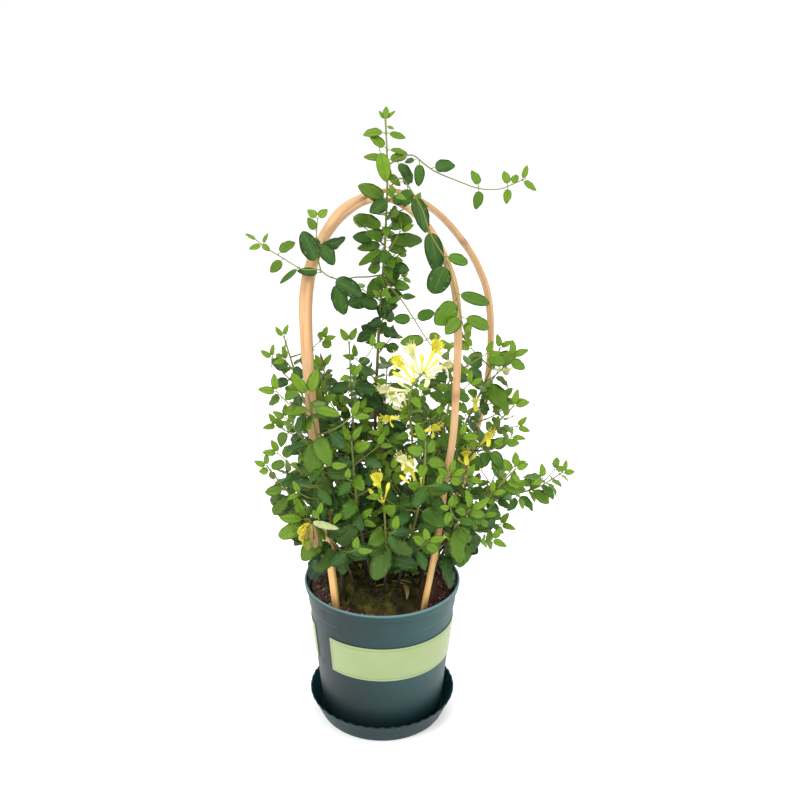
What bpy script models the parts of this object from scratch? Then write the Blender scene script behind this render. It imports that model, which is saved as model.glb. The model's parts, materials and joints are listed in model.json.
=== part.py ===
"""Potted honeysuckle, trained over two crossed bamboo hoops in a plastic pot on a saucer.

The origin is the centre of the saucer's underside, +Z is up and the plant is seen from -Y.
Sizes and places are millimetres. They become metres where a mesh is made.

A stem is a route of points chosen by hand. Leaves stand on it in pairs by a rule, and every
leaf, side shoot and bloom is turned, shortened or left out until it is clear of its neighbours.
"""
import math

import bmesh
import bpy
import numpy as np

MM = 0.001
CLEAR = 0.3
UP = np.array([0.0, 0.0, 1.0])

# Pot, turned in 32 facets so that the labels lie on whole facets
FACETS = 32
POT_TOP = 175.0
POT_RIM_RADIUS = 92.0
POT_WALL = 2.2
POT_FOOT = 3.1
POT_FLOOR = 7.0
DRAIN_RADIUS = 5.0
DRAIN_CIRCLE = 40.0
DRAIN_HOLES = 4

# Saucer
SCALLOPS = 44
SCALLOP_DEPTH = 1.6
SAUCER_BASE_RADIUS = 75.5
SAUCER_RIM_RADIUS = 88.0
SAUCER_HEIGHT = 28.0
SAUCER_FLOOR = 2.8
SAUCER_WALL = 2.0

# Labels: two plain plates round the wall, each 14 facets long
LABEL_LOW = 85.0
LABEL_HIGH = 129.0
LABEL_THICK = 0.8
LABEL_FACETS = 14
LABEL_STARTS = {"label_front": 225, "label_back": 45}

# Potting soil: a proud root ball, and a lower bed of granules round it
SOIL_FACETS = 28
SOIL_RINGS = (25.0, 48.0, 62.0, 70.0)
BALL_CENTRE = (-8.0, 4.0)
BALL_RADIUS = 65.0
BALL_TOP = 168.0
BED_LEVEL = 160.0
HOLE_CLEAR = 0.7
HOLE_SPARE = 1.0
HOLE_REACH = 50.0

# Foliage
BLADE_THICK = 0.7
SMALL_LEAF = 36.0
BROAD_LEAF = 50.0
STEM_STEP = 32.0
BRANCH_STEP = 20.0
SHOOT_STEP = 27.0
SPACING = 2.6
FLAT = math.radians(0.1)
TOWARD_VIEWER = np.array([0.0, -0.95, 0.3])
OPEN_VIEW = 110.0
UPPER_LIP = np.array([0.0, 0.9, 0.5])

# Bamboo strips bent into hoops: route, then width and direction of the broad side along it
HOOPS = {
    "hoop_left": {
        "route": [(-50, -54, 125), (-52, -56, 165), (-57, -63, 229), (-66, -71, 327), (-73, -75, 417),
                  (-77, -72, 505), (-72, -64, 549), (-56, -50, 584), (-35, -32, 608), (0, 0, 620),
                  (30, 22, 613), (62, 44, 591), (90, 58, 560), (109, 66, 530), (122, 71, 495),
                  (127, 72, 444), (124, 71, 389), (113, 67, 330), (94, 59, 255), (72, 50, 195),
                  (63, 45, 160), (58, 43, 125)],
        "width": [7.5, 9, 12, 12, 11, 10, 8, 7, 7, 7],
        "broad": [-30, -30, -30, -42, -54, -54, -54, -54],
        "thick": 4.5},
    "hoop_right": {
        "route": [(44, -56, 125), (47, -58, 165), (59, -66, 248), (67, -73, 327), (73, -76, 374),
                  (75, -77, 418), (76, -75, 480), (74, -68, 519), (67, -60, 548), (48, -40, 585),
                  (23, -19, 606), (2, 0, 611), (-23, 20, 604), (-51, 44, 580), (-72, 60, 545),
                  (-83, 70, 500), (-85, 73, 443), (-80, 70, 340), (-68, 60, 240), (-57, 52, 165),
                  (-54, 49, 125)],
        "width": [7, 8.5, 8, 8],
        "broad": [43.5, 43.5],
        "thick": 4.0},
}

# Leaves set one by one: distance along the stem, azimuth, rise, length, width
LEADER_LEAVES = [
    (550, 280, 80, 15, 7), (551, 180, 55, 12, 4), (551, 0, 50, 14, 4), (545, 0, -10, 9, 4),
    (538, 180, 12, 25, 11), (539, 0, -12, 23, 7), (523, 180, 42, 23, 11), (522, 0, 2, 24, 7),
    (514, 184, 8, 25, 8), (512, 350, 18, 23, 11), (509, 290, -75, 28, 15), (500, 330, -40, 20, 9),
    (486, 330, -45, 17, 9), (472, 222, 26, 42, 17), (457, 345, -12, 29, 16),
    (447, 275, -25, 15, 10), (443, 186, 26, 36, 16), (432, 184, 45, 17, 10), (430, 352, 6, 40, 16),
    (426, 182, -4, 30, 12), (424, 192, -30, 35, 10), (424, 340, -10, 25, 11), (416, 320, -40, 18, 13),
    (402, 182, 0, 18, 14), (405, 310, -42, 18, 13), (394, 205, -50, 31, 16), (396, 300, -78, 22, 12),
    (394, 345, -25, 16, 7), (378, 350, -15, 24, 10), (367, 310, -66, 25, 16), (358, 182, 20, 18, 13),
    (327, 182, 30, 22, 13), (325, 0, 62, 24, 13), (317, 182, 12, 15, 6), (315, 0, 0, 21, 6)]
GARLAND_LEAVES = [
    (26, 0, 10, 15, 10), (38, 262, -76, 22, 15), (50, 305, -50, 42, 18), (92, 298, -58, 46, 20),
    (126, 10, -10, 30, 12), (132, 215, -62, 35, 24), (164, 8, -16, 40, 13), (168, 215, -52, 34, 22),
    (188, 5, -15, 36, 14), (186, 205, -38, 29, 18), (203, 300, 40, 13, 7), (203, 60, 50, 13, 7)]
RIGHT_TENDRIL_LEAVES = [
    (10, 350, -44, 28, 13), (37, 290, -82, 27, 12), (34, 175, -8, 13, 6), (52, 350, 14, 25, 15),
    (104, 150, 72, 20, 11), (104, 275, -84, 23, 12), (134, 272, -84, 18, 9), (134, 120, 70, 17, 9),
    (138, 30, 55, 15, 8), (149, 0, -28, 20, 8), (149, 20, 62, 17, 7)]
LEFT_TENDRIL_LEAVES = [
    (84, 345, -28, 36, 18), (72, 280, -86, 40, 20), (100, 190, 4, 24, 9), (124, 190, -36, 27, 6),
    (148, 20, 46, 23, 12), (142, 190, -46, 20, 10), (166, 200, -14, 14, 6), (165, 60, 66, 15, 5),
    (168, 340, -35, 12, 6), (172, 175, 35, 15, 4)]
CLUSTER_LEAVES = [
    (8, 205, 60, 36, 19), (18, 95, 78, 22, 10), (30, 340, -42, 30, 18), (26, 5, 2, 32, 16),
    (40, 190, 60, 16, 9), (52, 175, 48, 14, 9), (52, 5, 48, 14, 9)]
THIN_SHOOT_LEAVES = [
    (33, 200, -10, 14, 8), (32, 350, 14, 18, 8), (58, 188, -5, 22, 12), (60, 8, 22, 24, 13),
    (86, 182, 0, 30, 14), (84, 20, 10, 18, 11)]

# Leafy stems. Each stands in its own hole in the soil. From "first" on it carries a pair of leaves
# every "gap", at a quarter turn to the pair before; "leaf" is the leaf length at its foot and its tip.
# "shoots" are side shoots: distance along, azimuth, rise, length, leaf length.
STEMS = {
    "leader_stem": {
        "route": [(-8, 8, 140), (-8, 8, 200), (-9, 7, 300), (-7, 4, 390), (-3, 0, 480), (2, -5, 550),
                  (5, -13, 616), (5, -10, 655), (3, -8, 697)],
        "radius": (2.6, 0.8), "leaves": LEADER_LEAVES, "first": 90, "last": 305, "gap": (34, 26),
        "leaf": (36, 26), "turn": 20,
        "shoots": [(150, 190, 30, 55, 25), (215, 340, 35, 55, 22), (400, 350, 45, 30, 14)],
        "branches": {
            "garland": {"parent": "main", "at": 478, "radius": (0.9, 0.6), "leaves": GARLAND_LEAVES,
                        "route": [(10, -17, 627), (19, -22, 634), (26, -32, 627), (33, -43, 617),
                                  (40, -53, 605), (46, -64, 587), (54, -75, 573), (64, -84, 557),
                                  (71, -91, 530), (77, -95, 506), (83, -96, 484)]},
            "right_tendril": {"parent": "main", "at": 507, "radius": (0.8, 0.5),
                              "leaves": RIGHT_TENDRIL_LEAVES,
                              "route": [(20, -14, 654), (31, -18, 656), (42, -20, 648), (54, -21, 640),
                                        (74, -20, 632), (97, -20, 624), (117, -20, 623),
                                        (132, -20, 628), (145, -20, 634)]},
            "left_tendril": {"parent": "main", "at": 394, "radius": (0.9, 0.5),
                             "leaves": LEFT_TENDRIL_LEAVES,
                             "route": [(-14, -14, 533), (-28, -34, 536), (-40, -54, 537), (-52, -70, 543),
                                       (-62, -82, 552), (-77, -86, 553), (-95, -84, 563),
                                       (-113, -82, 574), (-122, -80, 581)]},
            "cluster": {"parent": "left_tendril", "at": 100, "radius": (0.8, 0.5), "leaves": CLUSTER_LEAVES,
                        "route": [(-62, -80, 562), (-64, -79, 574), (-63, -76, 588), (-62, -73, 600)]},
            "thin_shoot": {"parent": "main", "at": 392, "radius": (0.8, 0.5), "leaves": THIN_SHOOT_LEAVES,
                           "route": [(10, -16, 521), (21, -23, 509), (33, -30, 492), (46, -36, 472),
                                     (54, -38, 462)]}}},
    "left_vine": {
        "route": [(-38, -46, 140), (-42, -54, 185), (-50, -80, 250), (-57, -97, 321), (-64, -102, 378),
                  (-70, -101, 411), (-73, -99, 430)],
        "radius": (2.0, 0.9), "first": 128, "gap": (34, 19), "leaf": (38, 30), "turn": 60,
        "leaves": [(256, 240, -70, 40, 26), (261, 300, -45, 36, 22), (222, 185, -10, 32, 16),
                   (220, 265, -78, 54, 26), (285, 200, 5, 30, 12), (286, 340, 0, 30, 12),
                   (282, 265, -8, 28, 14)],
        "shoots": [(205, 170, 20, 55, 26)]},
    "left_high": {
        "route": [(-32, -4, 140), (-42, -12, 220), (-62, -27, 330), (-85, -37, 410), (-102, -42, 476)],
        "radius": (2.0, 0.8), "first": 120, "gap": (34, 21), "leaf": (34, 15), "turn": 0,
        "shoots": [(170, 150, 40, 60, 26), (225, 215, 15, 55, 24)]},
    "left_mid": {
        "route": [(-24, 14, 140), (-40, -8, 240), (-54, -22, 340), (-62, -32, 440)],
        "radius": (1.9, 0.8), "first": 110, "gap": (34, 20), "leaf": (32, 18), "turn": 30,
        "shoots": [(160, 110, 30, 55, 25), (225, 20, 30, 50, 22)]},
    "mid_left": {
        "route": [(-14, -20, 140), (-24, -26, 260), (-31, -29, 370), (-35, -26, 466)],
        "radius": (1.9, 0.8), "first": 110, "gap": (34, 20), "leaf": (34, 19), "turn": 70,
        "leaves": [(205, 255, -60, 32, 19)],
        "shoots": [(150, 250, 20, 50, 27), (230, 150, 35, 50, 22)]},
    "left_low": {
        "route": [(-38, -22, 140), (-48, -44, 208), (-72, -66, 270), (-96, -84, 315), (-119, -88, 350)],
        "radius": (1.9, 0.7), "first": 128, "gap": (30, 18), "leaf": (36, 16), "turn": 10,
        "leaves": [(90, 196, -36, 40, 28), (196, 200, -42, 30, 15), (198, 60, 72, 22, 10)],
        "shoots": [(150, 240, 0, 55, 26)]},
    "left_low_front": {
        "route": [(-24, -36, 140), (-33, -62, 205), (-46, -92, 258), (-64, -104, 284), (-80, -106, 298)],
        "radius": (1.8, 0.8), "first": 136, "gap": (28, 20), "leaf": (42, 28), "turn": 50,
        "leaves": [(186, 190, -34, 38, 17)],
        "shoots": [(134, 300, 10, 45, 30)]},
    "front_left": {
        "route": [(-6, -32, 140), (-14, -57, 215), (-22, -80, 270), (-28, -96, 330), (-31, -98, 380)],
        "radius": (1.9, 0.8), "first": 132, "gap": (32, 20), "leaf": (40, 22), "turn": 15,
        "leaves": [(136, 195, -28, 36, 18)],
        "shoots": [(150, 160, 20, 50, 28), (190, 20, 20, 45, 26)]},
    "front_low": {
        "route": [(2, -44, 140), (3, -58, 190), (4, -76, 232), (4, -94, 268), (2, -99, 312)],
        "radius": (1.8, 0.9), "first": 110, "gap": (24, 16), "leaf": (40, 26), "turn": 0,
        "leaves": [(138, 240, -68, 50, 24), (140, 340, -35, 36, 18)],
        "shoots": []},
    "front_right": {
        "route": [(14, -34, 140), (21, -56, 215), (32, -80, 270), (42, -96, 330), (44, -98, 380)],
        "radius": (1.9, 0.8), "first": 90, "gap": (32, 20), "leaf": (40, 24), "turn": 40,
        "leaves": [(140, 255, -74, 46, 20)],
        "shoots": [(110, 300, 25, 50, 30), (170, 200, 20, 45, 26)]},
    "flower_stem": {
        "route": [(22, -20, 140), (27, -34, 230), (32, -45, 300), (32, -56, 364), (28, -61, 405),
                  (31, -62, 428), (42, -63, 442)],
        "radius": (1.9, 1.1), "first": 130, "last": 280, "gap": (38, 22), "leaf": (34, 26), "turn": 80,
        "shoots": [(160, 320, 30, 50, 26)]},
    "right_spray": {
        "route": [(34, -32, 140), (48, -42, 205), (72, -52, 250), (102, -64, 290), (125, -66, 318),
                  (142, -62, 336)],
        "radius": (1.9, 0.7), "first": 85, "gap": (30, 18), "leaf": (38, 18), "turn": 30,
        "shoots": [(120, 300, 0, 55, 28), (165, 110, 40, 50, 24)]},
    "right_long": {
        "route": [(42, 4, 140), (62, 2, 195), (98, -4, 250), (130, -8, 277), (156, -10, 285),
                  (178, -12, 294), (203, -13, 312)],
        "radius": (1.9, 0.6), "first": 95, "gap": (32, 20), "leaf": (34, 17), "turn": 30,
        "leaves": [(207, 350, -28, 30, 14), (206, 20, 45, 22, 13)],
        "shoots": [(110, 320, 10, 60, 28)]},
    "right_mid": {
        "route": [(33, -11, 140), (53, -17, 230), (84, -22, 310), (113, -27, 360), (142, -30, 396)],
        "radius": (1.9, 0.7), "first": 115, "gap": (32, 19), "leaf": (34, 20), "turn": 0,
        "shoots": [(150, 350, 0, 60, 26), (215, 300, 20, 55, 25)]},
    "right_high": {
        "route": [(27, 12, 140), (48, 11, 240), (82, 12, 330), (110, 8, 400), (129, 2, 452)],
        "radius": (2.0, 0.8), "first": 120, "gap": (34, 21), "leaf": (34, 18), "turn": 45,
        "leaves": [(312, 340, 25, 26, 18), (286, 310, -30, 40, 24)],
        "shoots": [(180, 60, 35, 60, 26), (230, 350, 20, 60, 24)]},
    "right_inner": {
        "route": [(8, -10, 140), (36, -32, 250), (58, -50, 340), (72, -60, 420), (82, -62, 476)],
        "radius": (1.9, 0.8), "first": 130, "gap": (34, 20), "leaf": (34, 18), "turn": 20,
        "leaves": [(272, 330, -66, 32, 18), (250, 340, -70, 30, 14)],
        "shoots": [(180, 280, 10, 50, 28), (250, 160, 30, 45, 22)]},
    "right_low": {
        "route": [(46, -16, 140), (60, -34, 200), (72, -62, 250), (80, -84, 284), (92, -90, 302)],
        "radius": (1.8, 0.8), "first": 90, "gap": (26, 17), "leaf": (42, 26), "turn": 10,
        "leaves": [(158, 285, -80, 48, 20), (160, 330, -60, 34, 16)],
        "shoots": []},
    "back_left": {
        "route": [(-18, 28, 140), (-37, 46, 250), (-58, 68, 330), (-80, 86, 395)],
        "radius": (1.9, 0.8), "first": 100, "gap": (34, 22), "leaf": (36, 20), "turn": 0,
        "shoots": [(150, 100, 25, 60, 28), (210, 170, 25, 55, 24)]},
    "back_centre": {
        "route": [(-2, 32, 140), (0, 56, 250), (2, 84, 330), (6, 106, 400)],
        "radius": (1.9, 0.8), "first": 100, "gap": (34, 22), "leaf": (36, 20), "turn": 45,
        "shoots": [(150, 60, 20, 60, 28), (210, 140, 25, 55, 24)]},
    "back_right": {
        "route": [(14, 27, 140), (34, 48, 250), (60, 72, 330), (84, 94, 395)],
        "radius": (1.9, 0.8), "first": 100, "gap": (34, 22), "leaf": (36, 20), "turn": 20,
        "shoots": [(150, 30, 20, 60, 28), (210, 110, 25, 55, 24)]},
    "back_low_left": {
        "route": [(-38, 20, 140), (-58, 30, 200), (-90, 46, 240), (-114, 58, 280)],
        "radius": (1.8, 0.7), "first": 80, "gap": (30, 20), "leaf": (38, 20), "turn": 50,
        "leaves": [(90, 196, -20, 40, 24)],
        "shoots": [(110, 120, 10, 55, 30)]},
    "back_low_right": {
        "route": [(32, 28, 140), (54, 52, 200), (80, 82, 240), (98, 108, 285)],
        "radius": (1.8, 0.7), "first": 80, "gap": (30, 20), "leaf": (38, 20), "turn": 70,
        "shoots": [(110, 60, 10, 55, 30)]},
    "seedling": {
        "route": [(27, 1, 150), (27, 1, 166), (28, 0, 178)],
        "radius": (0.7, 0.6), "first": 30, "last": 0, "gap": (9, 9), "leaf": (9, 7), "turn": 0,
        "leaves": [(26, 200, 12, 10, 8), (26, 20, 12, 10, 8), (27, 285, 30, 8, 6)],
        "shoots": []},
}

# Blooms: the stem, distance along it, azimuth, rise, length, and whether it is fresh and still white
BLOOMS = {
    "bloom_top": ("flower_stem", 318, 10, 62, 42, False),
    "bloom_top_right": ("flower_stem", 317, 350, 24, 34, True),
    "bloom_upright": ("flower_stem", 306, 110, 72, 38, True),
    "bloom_top_left": ("flower_stem", 296, 165, 48, 40, False),
    "bloom_left": ("flower_stem", 288, 188, 2, 38, True),
    "bloom_front": ("flower_stem", 308, 285, 10, 32, True),
    "bloom_low_white": ("flower_stem", 262, 175, 42, 34, True),
    "bloom_low_yellow": ("flower_stem", 258, 195, -4, 32, False),
    "bloom_under_hoop": ("flower_stem", 236, 345, 20, 34, False),
    "bloom_heart": ("front_low", 182, 150, 74, 38, False),
    "bloom_centre": ("front_right", 196, 160, 62, 40, False),
    "bloom_centre_white": ("front_right", 216, 185, 38, 36, True),
    "bloom_right": ("right_mid", 196, 280, 55, 34, False),
    "bloom_right_far": ("right_mid", 222, 330, 60, 34, False),
    "bloom_high": ("right_high", 258, 265, 25, 32, False),
    "bloom_high_white": ("right_high", 304, 20, -15, 26, True),
}


# How the plant grows

def unit(vector):
    return vector / np.linalg.norm(vector)


def aim(azimuth, rise):
    """Unit vector. Azimuth 0 points right, 90 to the back, 180 left, 270 to the front."""
    turn, lift = math.radians(azimuth), math.radians(rise)
    return np.array([math.cos(turn) * math.cos(lift), math.sin(turn) * math.cos(lift), math.sin(lift)])


def smooth_points(points, step):
    """Catmull-Rom curve through the points, read at even steps of its own length."""
    knots = np.asarray(points, float)
    knots = np.vstack([2 * knots[0] - knots[1], knots, 2 * knots[-1] - knots[-2]])
    t = np.linspace(0, 1, 24, endpoint=False)[:, None]
    runs = [0.5 * (2 * b + (c - a) * t + (2 * a - 5 * b + 4 * c - d) * t**2 + (3 * b - a - 3 * c + d) * t**3)
            for a, b, c, d in zip(knots, knots[1:], knots[2:], knots[3:])]
    fine = np.vstack(runs + [knots[-2:-1]])
    along = np.concatenate([[0.0], np.cumsum(np.linalg.norm(np.diff(fine, axis=0), axis=1))])
    wanted = np.linspace(0, along[-1], max(2, round(along[-1] / step) + 1))
    return np.stack([np.interp(wanted, along, fine[:, axis]) for axis in range(3)], axis=1), wanted


class Route:
    """A stem's centre line in straight runs, with its radius falling evenly from foot to tip."""

    def __init__(self, points, radius, step):
        self.points, self.along = smooth_points(points, step)
        self.length = float(self.along[-1])
        self.radius = radius

    def at(self, distance):
        return np.array([np.interp(distance, self.along, self.points[:, axis]) for axis in range(3)])

    def heading(self, distance):
        return unit(self.at(min(distance + 4, self.length)) - self.at(max(distance - 4, 0)))

    def thick(self, distance):
        return self.radius[0] + (self.radius[1] - self.radius[0]) * np.asarray(distance) / self.length


class Leaf:
    """A blade with an ovate outline, folded up along its rib and curling down to its tip."""

    def __init__(self, root, toward, face, length, width, stalk, fold, curl):
        self.root, self.toward = root, toward
        self.side = unit(np.cross(face, toward))
        self.face = np.cross(toward, self.side)
        self.length, self.width, self.stalk = length, width, stalk
        self.fold, self.curl = fold, curl
        self.corners = 4 if length < SMALL_LEAF else 6 if length < BROAD_LEAF else 8

    def surface(self, t, u):
        """Point on the blade: t from its base to its tip, u from edge to edge.

        The rib is an arc of a circle. Half the width rises as the root of t and falls to a pointed
        tip as (1 - t) to the power 0.8; 2.38 makes it one at its fullest, below the middle.
        """
        t, u = np.asarray(t, float)[..., None], np.asarray(u, float)[..., None]
        bend = self.curl / self.length
        reach = self.stalk + (self.length - self.stalk) * t
        drop = (1 - np.cos(bend * reach)) / bend
        rib = self.root + np.sin(bend * reach) / bend * self.toward - drop * self.face
        lift = self.face * np.cos(bend * reach) + self.toward * np.sin(bend * reach)
        half = 0.5 * self.width * 2.38 * np.clip(t, 0, 1)**0.5 * np.clip(1 - t, 0, 1)**0.8
        return rib + half * (u * math.cos(self.fold) * self.side + np.abs(u) * math.sin(self.fold) * lift)

    def corner(self, angle):
        """Point of the outline; angle 0 is the root, half a turn is the tip."""
        if abs(angle) < 1e-6:
            return self.root
        return self.surface((1 - math.cos(angle)) / 2, np.sign(round(math.sin(angle), 6)))

    def triangles(self):
        """A foot and a tip that meet in a crease across the blade, or a fan for a large leaf."""
        rim = [self.corner(2 * math.pi * k / self.corners) for k in range(self.corners)]
        if self.corners == 4:
            return [np.array([rim[0], rim[1], rim[3]]), np.array([rim[1], rim[2], rim[3]])]
        middle = self.surface(0.5, 0.0)
        return [np.array([middle, a, b]) for a, b in zip(rim, rim[1:] + rim[:1])]


def spread(triangles, spacing=1.3):
    """Points over triangles, no further apart than the spacing."""
    points = []
    for triangle in triangles:
        longest = max(np.linalg.norm(triangle[k] - triangle[k - 1]) for k in range(3))
        n = max(1, math.ceil(longest / spacing))
        weights = np.array([(i / n, j / n, (n - i - j) / n) for i in range(n + 1) for j in range(n + 1 - i)])
        points.append(weights @ triangle)
    return np.vstack(points)


def tube_points(route, start=0.0):
    """Points on a stem's axis and skin."""
    reach = np.arange(start, route.length + 1.2, 1.2).clip(max=route.length)
    turns = np.arange(6) * math.pi / 3
    points = []
    for distance in reach:
        axis = route.heading(distance)
        across = unit(np.cross(axis, [0.31, 0.52, 0.8]))
        ring = np.cos(turns)[:, None] * across + np.sin(turns)[:, None] * np.cross(axis, across)
        centre = route.at(distance)
        points.append(np.vstack([centre[None], centre + route.thick(distance) * ring]))
    return np.vstack(points)


def strip_frames(hoop, step):
    """Centres, broad side and flat side of a bamboo strip, and its width, at even steps."""
    centres, along = smooth_points(hoop["route"], step)
    share = along / along[-1]
    width = np.interp(share, np.linspace(0, 1, len(hoop["width"])), hoop["width"])
    turn = np.radians(np.interp(share, np.linspace(0, 1, len(hoop["broad"])), hoop["broad"]))
    axis = np.gradient(centres, axis=0)
    axis /= np.linalg.norm(axis, axis=1)[:, None]
    broad = np.stack([np.cos(turn), np.sin(turn), np.zeros_like(turn)], axis=1)
    broad -= axis * np.sum(axis * broad, axis=1)[:, None]
    broad /= np.linalg.norm(broad, axis=1)[:, None]
    return centres, broad, np.cross(axis, broad), width


class Space:
    """A grid of small cells that remembers which piece is in or near each of them."""

    cell = 1.6
    low = np.array([-160.0, -170.0, 130.0])
    high = np.array([250.0, 170.0, 730.0])
    near_by = np.array([(i, j, k) for i in (-1, 0, 1) for j in (-1, 0, 1) for k in (-1, 0, 1)])
    shared = -1

    def __init__(self):
        self.shape = np.ceil((self.high - self.low) / self.cell).astype(int)
        self.near = np.zeros(self.shape, np.int16)
        self.core = np.zeros(self.shape, bool)

    def cells(self, points):
        return np.unique(np.clip(((points - self.low) / self.cell).astype(int), 1, self.shape - 2), axis=0)

    def take(self, points, owner):
        cells = self.cells(points)
        self.core[tuple(cells.T)] = True
        cells = np.unique((cells[:, None] + self.near_by[None]).reshape(-1, 3), axis=0)
        held = self.near[tuple(cells.T)]
        self.near[tuple(cells.T)] = np.where((held == 0) | (held == owner), owner, self.shared)

    def keep_open(self, points):
        """Close the free cells in front of the points to leaves, so that a bloom isn't hidden."""
        for distance in np.arange(6.0, OPEN_VIEW, 1.5):
            cells = tuple(self.cells(points + distance * TOWARD_VIEWER).T)
            self.near[cells] = np.where(self.near[cells] == 0, -1, self.near[cells])

    def free(self, points, owner):
        """No other piece is near these points."""
        held = self.near[tuple(self.cells(points).T)]
        return not np.any((held != 0) & (held != owner))

    def empty(self, points):
        """No piece at all, of this owner either, is in these points' cells."""
        return not np.any(self.core[tuple(self.cells(points).T)])


def over_soil(points):
    return np.any((points[:, 2] < BALL_TOP + 4) & (np.hypot(points[:, 0], points[:, 1]) < POT_RIM_RADIUS + 4))


def outward(point):
    """Level direction away from the plant's middle, and to the front near the middle."""
    away = np.array([point[0] - 5.0, point[1] + 5.0, 0.0])
    if np.linalg.norm(away) < 26:
        away += np.array([0.0, -40.0, 0.0])
    return unit(away)


def leaf_on(route, distance, toward, length, width, draw, frontal):
    """A leaf whose root is inside the stem and whose upper face looks up, outward and ahead."""
    point = route.at(distance)
    thick = float(route.thick(distance))
    share = draw.uniform(0.1, 0.9) if frontal is None else frontal
    ahead = np.array([0.0, -1.0 if point[1] < 25 else 1.0, 0.0])
    face = 0.42 * UP + (1 - share) * outward(point) + share * ahead + 0.25 * draw.normal(size=3)
    stalk = min(5.0, 0.14 * length) + 0.6 * thick
    return Leaf(point, toward, face, length, width, stalk,
                fold=0.22 + 0.12 * draw.random(), curl=0.35 + 0.45 * draw.random())


class Stem:
    """One plant: its woody stem, its branches and shoots, and the leaves on them."""

    def __init__(self, name, plan, owner):
        self.name, self.plan, self.owner = name, plan, owner
        self.draw = np.random.default_rng(100 + owner)
        self.main = Route(plan["route"], plan["radius"], STEM_STEP)
        self.routes = {"main": self.main}
        for branch, own in plan.get("branches", {}).items():
            root = self.routes[own["parent"]].at(own["at"])
            self.routes[branch] = Route([tuple(root)] + own["route"], own["radius"], BRANCH_STEP)
        self.shoots = []
        self.leaves = []


def place_leaf(space, stem, route, distance, toward, length, width, exact):
    """Set a leaf, turned round its stem and shortened until it is clear of what is there."""
    distance = min(distance, route.length - 0.5)
    axis = route.heading(distance)
    turns = (0, 10, -10, 20, -20, 30, -30, 40, -40) if exact else (0, 20, -20, 40, -40, 60, -60, 80, -80)
    for attempt, turn in enumerate(turns):
        a = math.radians(turn)
        turned = (toward * math.cos(a) + np.cross(axis, toward) * math.sin(a)
                  + axis * np.dot(axis, toward) * (1 - math.cos(a)))
        scale = 1 - 0.04 * attempt
        draw = np.random.default_rng(int(1000 * distance) + stem.owner)
        leaf = leaf_on(route, distance, unit(turned), length * scale, width * scale, draw,
                       0.85 if exact else None)
        points = spread(leaf.triangles())
        reach = np.linalg.norm(points - leaf.root, axis=1)
        own = points[reach > max(5.0, 0.3 * leaf.length)]
        roomy = exact and leaf.length < 20 or space.empty(own)
        if not over_soil(points) and space.free(points, stem.owner) and roomy:
            space.take(points[reach > 3], stem.owner)
            stem.leaves.append(leaf)
            return


def leaf_pairs(space, stem, route, first, last, gap, sizes, turn):
    """Pairs of leaves along a stem, each pair a quarter turn from the pair before."""
    distance, count = first, 0
    while distance < last - 3:
        share = (distance - first) / max(1.0, last - first)
        axis = route.heading(distance)
        across = unit(np.cross(axis, (0.0, -0.3, 1.0) if abs(axis[2]) < 0.9 else (0.2, -1.0, 0.0)))
        azimuth = math.radians(turn + 90 * count + stem.draw.uniform(-18, 18))
        for side in (0, math.pi):
            radial = math.cos(azimuth + side) * across + math.sin(azimuth + side) * np.cross(axis, across)
            lift = math.radians(stem.draw.uniform(15, 45))
            droop = 0.15 + 0.25 * stem.draw.random()
            toward = unit(math.cos(lift) * radial + math.sin(lift) * axis - droop * UP)
            size = (sizes[0] + (sizes[1] - sizes[0]) * share) * stem.draw.uniform(0.82, 1.12)
            width = size * stem.draw.uniform(0.52, 0.64)
            place_leaf(space, stem, route, distance, toward, size, width, False)
        distance += SPACING * (gap[0] + (gap[1] - gap[0]) * share)
        count += 1


def tip_leaves(space, stem, route, size):
    axis = route.heading(route.length)
    across = unit(np.cross(axis, (0.3, -1, 0.4)))
    for side in (1, -1):
        place_leaf(space, stem, route, route.length - 1, unit(axis + 0.55 * side * across),
                   0.95 * size, 0.42 * size, True)


def side_shoot(space, stem, distance, azimuth, rise, length, size):
    """A thin shoot that leaves the stem and bends upward, swung aside until it is clear."""
    root = stem.main.at(distance)
    for swing in (0, 15, -15, 30, -30, 45, -45):
        toward = aim(azimuth + swing, rise)
        points = [root, root + 0.35 * length * toward, root + 0.7 * length * toward + 0.06 * length * UP,
                  root + 0.95 * length * toward + 0.2 * length * UP]
        route = Route(points, (0.9, 0.5), SHOOT_STEP)
        skin = tube_points(route, start=4)
        if space.free(skin, stem.owner) and not over_soil(skin):
            space.take(skin, stem.owner)
            stem.shoots.append((route, size))
            return


class Bloom:
    """A long slender tube that opens into a broad upper lip and a narrow lower lip round a style."""

    def __init__(self, root, toward, length, white):
        self.root, self.toward, self.length, self.white = root, toward, length, white
        self.side = unit(np.cross(toward, UPPER_LIP))
        self.top = np.cross(self.side, toward)
        tube = 0.58 * length
        bow = 0.05 * length
        mouth = root + tube * toward + bow * self.top
        self.tube = Route([root, root + 0.5 * tube * toward, mouth], (0.75, 1.7), 0.5 * tube)
        mouth_in = mouth - 1.5 * toward
        petal = 0.44 * length
        self.upper = Leaf(mouth_in, unit(toward + 0.75 * self.top), unit(self.top - 0.75 * toward) * -1,
                          petal, 0.31 * length, 1.0, fold=0.3, curl=-1.5)
        self.lower = Leaf(mouth_in, unit(toward - 0.6 * self.top), unit(self.top + 0.6 * toward),
                          petal, 0.1 * length, 1.0, fold=0.1, curl=1.4)
        start = mouth - 0.7 * toward
        reach = 0.4 * length
        self.style = Route([start, start + reach * unit(toward + 0.12 * self.top)], (0.5, 0.4), reach)

    def points(self):
        return np.vstack([tube_points(self.tube, 1.5), tube_points(self.style),
                          spread(self.upper.triangles()), spread(self.lower.triangles())])


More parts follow.
